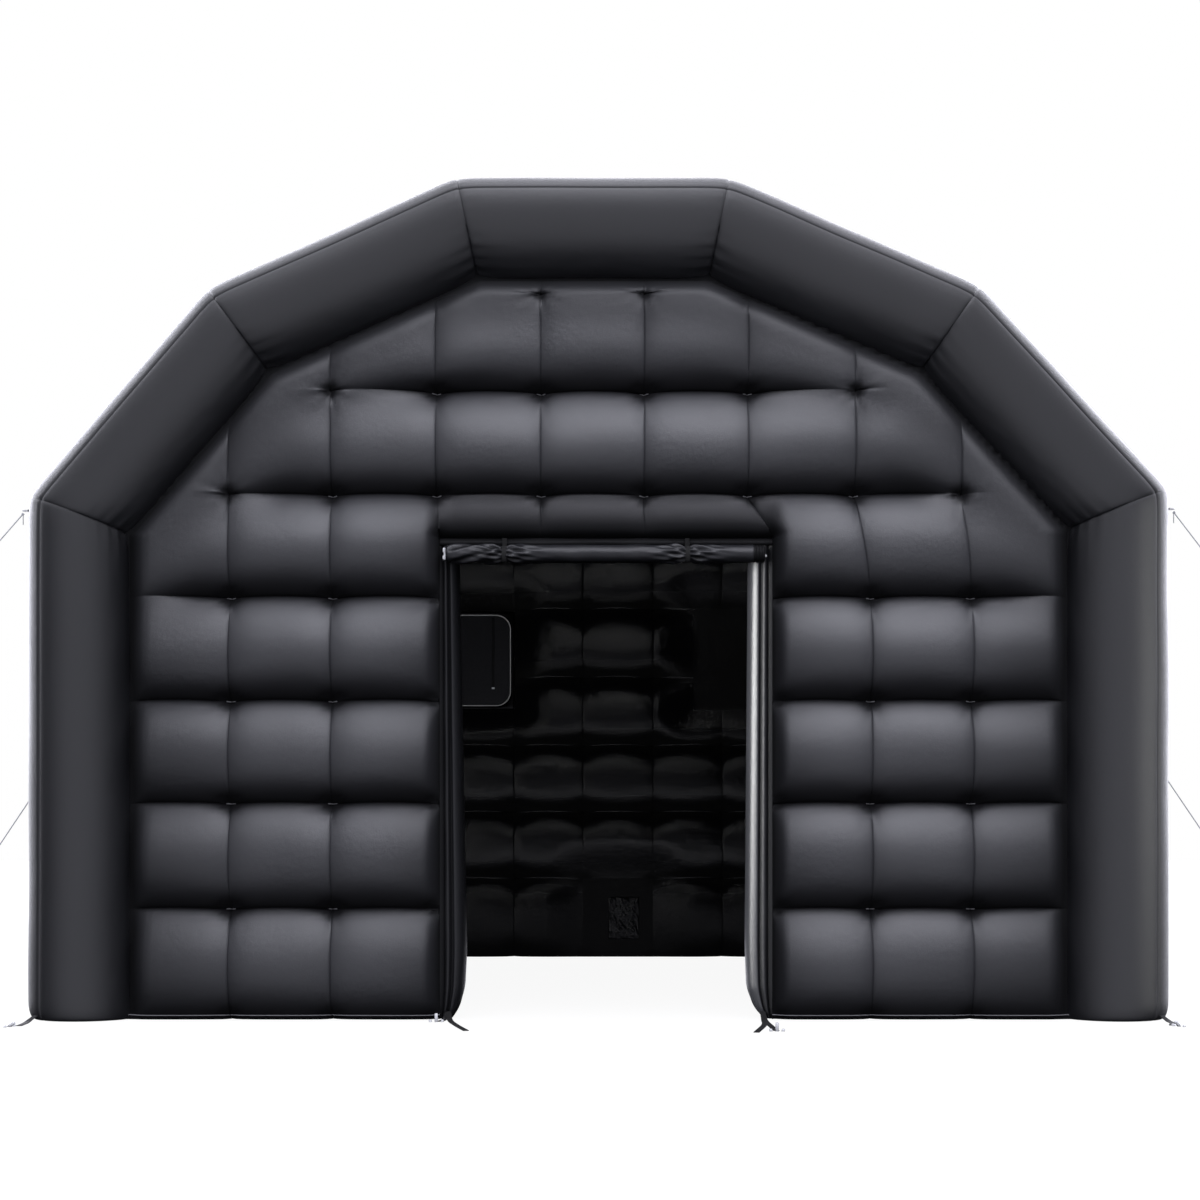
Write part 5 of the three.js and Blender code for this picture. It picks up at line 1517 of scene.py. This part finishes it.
def window_binding():
    """The padded binding around the window, and the light piping along its inner edge."""
    inset = PIECE_GAP * 1.5
    inner = window_outline(BINDING["width"], BINDING["corner"])
    turns = [2 * math.pi * i / BINDING["sides"] for i in range(BINDING["sides"])]
    rings = []
    for x, z, angle in inner:
        c, s = math.cos(angle), math.sin(angle)
        edge_x = WINDOW["right"] - inset if c > 0 else WINDOW["left"] + inset
        edge_z = WINDOW["top"] - inset if s > 0 else WINDOW["bottom"] + inset
        reach = min((edge_x - x) / c if abs(c) > 1e-9 else 9, (edge_z - z) / s if abs(s) > 1e-9 else 9)
        ring = []
        for turn in turns:
            out = reach * (0.5 + 0.5 * rounded(math.cos(turn)))
            ring.append((x + c * out, REAR_Y + WINDOW_EDGE_HALF * rounded(math.sin(turn)), z + s * out))
        rings.append(ring)
    piece = add_tube("window_binding", np.array(rings), "cloth_inside", looped=True)
    finish_padded(piece, ["back_window_binding"])
    edge = inner[:, :2] + PIPING["out"] * np.stack([np.cos(inner[:, 2]), np.sin(inner[:, 2])], axis=1)
    deep = np.full(len(edge), REAR_Y - WINDOW_EDGE_HALF * PIPING["deep"])
    loop = np.stack([edge[:, 0], deep, edge[:, 1]], axis=1)
    piping = rope_shape(np.concatenate([loop, loop[:1]]), PIPING["radius"], sides=8)
    piping = add_shapes("window_piping", [piping], "piping_cloth")
    lit_by("lit_inside", piping)
    finish_piece(piping)


def window_net():
    """The netting in the window, bowed a little into the tent."""
    outline = window_outline(BINDING["width"] + PIECE_GAP, BINDING["corner"])[:, :2]
    middle = outline.mean(axis=0)
    count = len(outline)
    front = [[(middle[0], NET_Y - NET["bow"], middle[1])]]
    for share in np.linspace(0, 1, 22)[1:]:
        flat = middle + (outline - middle) * share
        front.append(np.stack([
            flat[:, 0], np.full(count, NET_Y - NET["bow"] * (1 - share ** 2)), flat[:, 1]], axis=1))
    faces = [[0, 1 + i, 1 + (i + 1) % count] for i in range(count)]
    for here in range(1, 1 + count * (len(front) - 2), count):
        faces += [
            [here + i, here + count + i, here + count + (i + 1) % count, here + (i + 1) % count]
            for i in range(count)]
    front = np.concatenate(front)
    points, faces = double_skin(front, front + [0, NET["thickness"], 0], faces)
    piece = add_mesh("window_net", points, faces, ["net_cloth"], points[:, [0, 2]])
    finish_piece(piece, ["back_window_mesh"])


def window_pull():
    """The webbing that hangs in front of the net, and the white tip at its end."""
    front = NET_Y - 0.0035
    places = [(PULL["x"], front, PULL["top"]), (PULL["x"] + 0.002, front, 2.1),
              (PULL["x"] - 0.001, front, 1.95), (PULL["x"], front, PULL["bottom"])]
    strip = strip_shape(places, PULL["width"], PULL["thickness"], up=(0, -1, 0), step=0.01)
    finish_piece(add_shapes("window_pull", [strip], "webbing"), ["back_window_strap"])
    end = add_block((0.02, 0.006, 0.012), (PULL["x"], front - 0.001, PULL["bottom"] + 0.002), 0.002)
    finish_piece(join_parts("window_pull_end", [end], "white_plastic"))


def sleeve_patch():
    """A crumpled sleeve of cloth, sewn flat against the wall."""
    u, v = np.meshgrid(np.linspace(0, 1, 90), np.linspace(0, 1, 120))
    width, height = PATCH["right"] - PATCH["left"], PATCH["top"] - PATCH["bottom"]
    x = PATCH["left"] + width * u + PATCH["sway"] * (u - 0.5) * np.cos(9 * v)
    z = PATCH["bottom"] + height * v
    from_edge = np.minimum(np.minimum(u, 1 - u) * width, np.minimum(v, 1 - v) * height)
    rise = np.clip(from_edge / PATCH["edge"], 0, 1)
    folds = np.abs(ripples(x, z * 0.6, 0.09, 91)) * 0.6 + np.abs(ripples(x * 0.7, z, 0.04, 92)) * 0.25
    deep = 0.001 + rise ** 0.6 * (PATCH["thickness"] + PATCH["crease"] * np.clip(folds, 0, 1.2))
    back = REAR_Y - PANEL_HALF - PIECE_GAP
    front, rear = (np.stack([x, back - d, z], axis=-1).reshape(-1, 3) for d in (deep, 0 * deep))
    points, faces = double_skin(front, rear, grid_faces(np.arange(x.size).reshape(x.shape)))
    piece = add_mesh("sleeve_cloth", points, faces, ["cloth_inside"], points[:, [0, 2]])
    lit_by("lit_inside", piece)
    finish_piece(piece, ["sleeve_patch"])


class TENT_OT_add_guys(Operator):
    """Adds the guy tabs with their rings and the taut ropes"""

    bl_idname = "tent.add_guys"
    bl_label = "Add Guys"

    def execute(self, context):
        for guy in GUYS:
            guy_tab(guy)
            guy_rope(guy)
        return {"FINISHED"}


class TENT_OT_add_anchors(Operator):
    """Adds the anchor straps and the heads of their pegs"""

    bl_idname = "tent.add_anchors"
    bl_label = "Add Anchors"

    def execute(self, context):
        for anchor in ANCHORS:
            anchor_strap(anchor)
            anchor_peg(anchor)
        return {"FINISHED"}


class TENT_OT_add_door(Operator):
    """Adds the doorway's gussets and header, and the rolled flap with its ties and clip"""

    bl_idname = "tent.add_door"
    bl_label = "Add Door"

    def execute(self, context):
        for side in ("left", "right"):
            door_jamb(side)
            roll_tie(side)
        door_header()
        door_roll()
        roll_clip()
        return {"FINISHED"}


class TENT_OT_add_window(Operator):
    """Adds the back window's binding, net and pull strap"""

    bl_idname = "tent.add_window"
    bl_label = "Add Window"

    def execute(self, context):
        window_binding()
        window_net()
        window_pull()
        return {"FINISHED"}


class TENT_OT_add_sleeve(Operator):
    """Adds the crumpled sleeve at the foot of the back wall"""

    bl_idname = "tent.add_sleeve"
    bl_label = "Add Sleeve"

    def execute(self, context):
        sleeve_patch()
        return {"FINISHED"}


# Stage

LAMPS = (
    {"name": "wall_light", "lights": "lit_high", "power": "top_light",
     "place": (1.7, -8.0, 8.4), "aim": (0.6, -2.4, 1.5), "size": (12, 4), "tint": (0.96, 0.965, 1.07)},
    {"name": "low_light", "lights": "lit_low", "power": "low_light",
     "place": (-3.5, -3.9, 1.95), "aim": (0.68, -2.4, 1.3), "size": (2.8, 2.0)},
    {"name": "side_light", "lights": "lit_right", "power": "side_light",
     "place": (5.8, -3.8, 1.5), "aim": (2.4, -2.4, 1.3), "size": (1.6, 3.4)},
    {"name": "inner_light_high", "lights": "lit_inside", "power": "inner_light",
     "place": (0, -1.2, 3.0), "aim": (0, 2.16, 1.3), "size": (3.4, 0.05)},
    {"name": "inner_light_low", "lights": "lit_inside", "power": "inner_light", "share": 0.6,
     "place": (0, 0, 0.03), "aim": (0, 0.2, 3.0), "size": (3.4, 0.05)},
    {"name": "inner_light_left", "lights": "lit_inside", "power": "inner_light", "share": 0.6,
     "place": (-1.9, -0.6, 1.4), "aim": (0.4, 2.16, 1.4), "size": (0.05, 2.4)},
)


def add_lamp(lamp, studio):
    """A lamp that lights one group of pieces and is out of the camera's sight."""
    light = bpy.data.lights.new(lamp["name"], "AREA")
    light.shape = "RECTANGLE"
    light.size, light.size_y = lamp["size"]
    light.energy = lamp.get("share", 1.0) * getattr(studio, lamp["power"])
    light.color = lamp.get("tint", (1, 1, 1))
    place = Vector(lamp["place"])
    holder = bpy.data.objects.new(lamp["name"], light)
    holder.location = place
    holder.rotation_euler = (Vector(lamp["aim"]) - place).to_track_quat("-Z", "Y").to_euler()
    holder.visible_camera = False
    bpy.context.scene.collection.objects.link(holder)
    lit = bpy.data.collections.get(lamp["lights"]) or bpy.data.collections.new(lamp["lights"])
    holder.light_linking.receiver_collection = lit


def add_camera(studio):
    """The camera that looks straight at the doorway from low down."""
    camera = bpy.data.objects.new("camera", bpy.data.cameras.new("camera"))
    bpy.context.scene.collection.objects.link(camera)
    camera.location = (0.0066, MIDDLE_Y - studio.eye_distance, studio.eye_height)
    camera.rotation_euler = (math.pi / 2, 0, 0)
    camera.data.sensor_width = 36
    camera.data.lens = studio.focal_length
    camera.data.shift_y = studio.picture_rise
    camera.data.clip_end = 300
    bpy.context.scene.camera = camera


# Brightness of the studio from straight down at 0 over the horizon at 0.5 to straight up at 1
STUDIO_FRONT = (
    (0.0, 0.0), (0.12, 0.01), (0.24, 0.1), (0.43, 0.17), (0.57, 0.07), (0.71, 0.2), (0.85, 0.05),
    (0.95, 0.14), (1.0, 0.6),
)
STUDIO_SIDE = (
    (0.0, 0.0), (0.57, 0.0), (0.71, 0.03), (0.85, 0.18), (0.95, 0.13), (1.0, 0.5),
)
STUDIO_BACK = (
    (0.0, 0.0), (0.43, 0.0), (0.5, 0.4), (0.57, 1.0), (0.71, 0.9), (0.85, 0.3), (0.95, 0.17), (1.0, 0.6),
)
STUDIO_STRENGTH = 9.0
STUDIO_TINT = (0.96, 0.965, 1.07, 1)


def make_world():
    """A white studio for the camera, with its light mostly overhead and a dim band at the horizon."""
    world = bpy.data.worlds.new("studio")
    bpy.context.scene.world = world
    world.use_nodes = True
    world.node_tree.nodes.clear()
    graph = Shade(world.node_tree)
    behind, up = graph.add("ShaderNodeTexCoord", output=0).split(1, 2)
    front, side, back = (
        graph.add("ShaderNodeValToRGB", {"stops": stops}, {"Fac": up * 0.5 + 0.5})
        for stops in (STUDIO_FRONT, STUDIO_SIDE, STUDIO_BACK)
    )
    level = (behind * 2.0 - 0.5).mix((behind * -2.6 - 1.1).mix(side, front), back)
    seen = graph.add("ShaderNodeLightPath", output=0)
    tinted = graph.add("ShaderNodeMix", {"data_type": "RGBA", "blend_type": "MULTIPLY"}, {
        0: 1.0, 6: level, 7: STUDIO_TINT}, output=2)
    lit = graph.add("ShaderNodeBackground", sockets={"Color": tinted, "Strength": STUDIO_STRENGTH})
    plain = graph.add("ShaderNodeBackground", sockets={"Color": (1, 1, 1, 1), "Strength": 1.0})
    both = graph.add("ShaderNodeMixShader", sockets={0: seen, 1: lit, 2: plain})
    graph.add("ShaderNodeOutputWorld", sockets={"Surface": both})


def make_floor():
    """A plain light floor that throws no light on the tent."""
    deselect()
    bpy.ops.mesh.primitive_plane_add(size=120, location=(0, 0, -0.0015))
    floor = bpy.context.object
    floor.name = "studio_floor"
    material, graph = new_material("studio_floor")
    surface = graph.add("ShaderNodeBsdfPrincipled", sockets={
        "Base Color": (0.12, 0.12, 0.12, 1), "Roughness": 1.0, "Specular IOR Level": 0.0,
        "Emission Color": (1, 1, 1, 1), "Emission Strength": 0.93})
    graph.add("ShaderNodeOutputMaterial", sockets={"Surface": surface})
    floor.data.materials.append(material)
    floor.visible_diffuse = False
    floor.visible_glossy = False


class TENT_OT_add_stage(Operator):
    """Adds the floor, the studio light and the camera"""

    bl_idname = "tent.add_stage"
    bl_label = "Add Stage"

    def execute(self, context):
        studio = context.scene.tent_studio
        make_world()
        make_floor()
        for lamp in LAMPS:
            add_lamp(lamp, studio)
        add_camera(studio)
        context.scene.view_settings.view_transform = "Standard"
        return {"FINISHED"}


class TENT_PT_panel(Panel):
    """Lists the tent's pieces in the sidebar"""

    bl_idname = "TENT_PT_panel"
    bl_label = "Inflatable Party Tent"
    bl_space_type = "VIEW_3D"
    bl_region_type = "UI"
    bl_category = "Tent"

    def draw(self, context):
        for group in (context.scene.tent_sizes, context.scene.tent_finish, context.scene.tent_studio):
            for name in group.__annotations__:
                self.layout.prop(group, name)
        for operator in OPERATORS:
            self.layout.operator(operator.bl_idname)


OPERATORS = (
    TENT_OT_add_stage,
    TENT_OT_add_guys,
    TENT_OT_add_anchors,
    TENT_OT_add_arches,
    TENT_OT_add_side_walls,
    TENT_OT_add_roof,
    TENT_OT_add_front_wall,
    TENT_OT_add_back_wall,
    TENT_OT_add_door,
    TENT_OT_add_window,
    TENT_OT_add_sleeve,
)
CLASSES = (TentSizes, TentFinish, TentStudio, *OPERATORS, TENT_PT_panel)


def register():
    """Registers the panel, the operators and their settings."""
    for kind in CLASSES:
        bpy.utils.register_class(kind)
    bpy.types.Scene.tent_sizes = PointerProperty(type=TentSizes)
    bpy.types.Scene.tent_finish = PointerProperty(type=TentFinish)
    bpy.types.Scene.tent_studio = PointerProperty(type=TentStudio)


def unregister():
    """Takes the same away again."""
    del bpy.types.Scene.tent_studio
    del bpy.types.Scene.tent_finish
    del bpy.types.Scene.tent_sizes
    for kind in reversed(CLASSES):
        bpy.utils.unregister_class(kind)


def main():
    """Builds the tent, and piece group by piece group."""
    register()
    for operator in OPERATORS:
        category, name = operator.bl_idname.split(".")
        getattr(getattr(bpy.ops, category), name)()


if __name__ == "__main__":
    main()
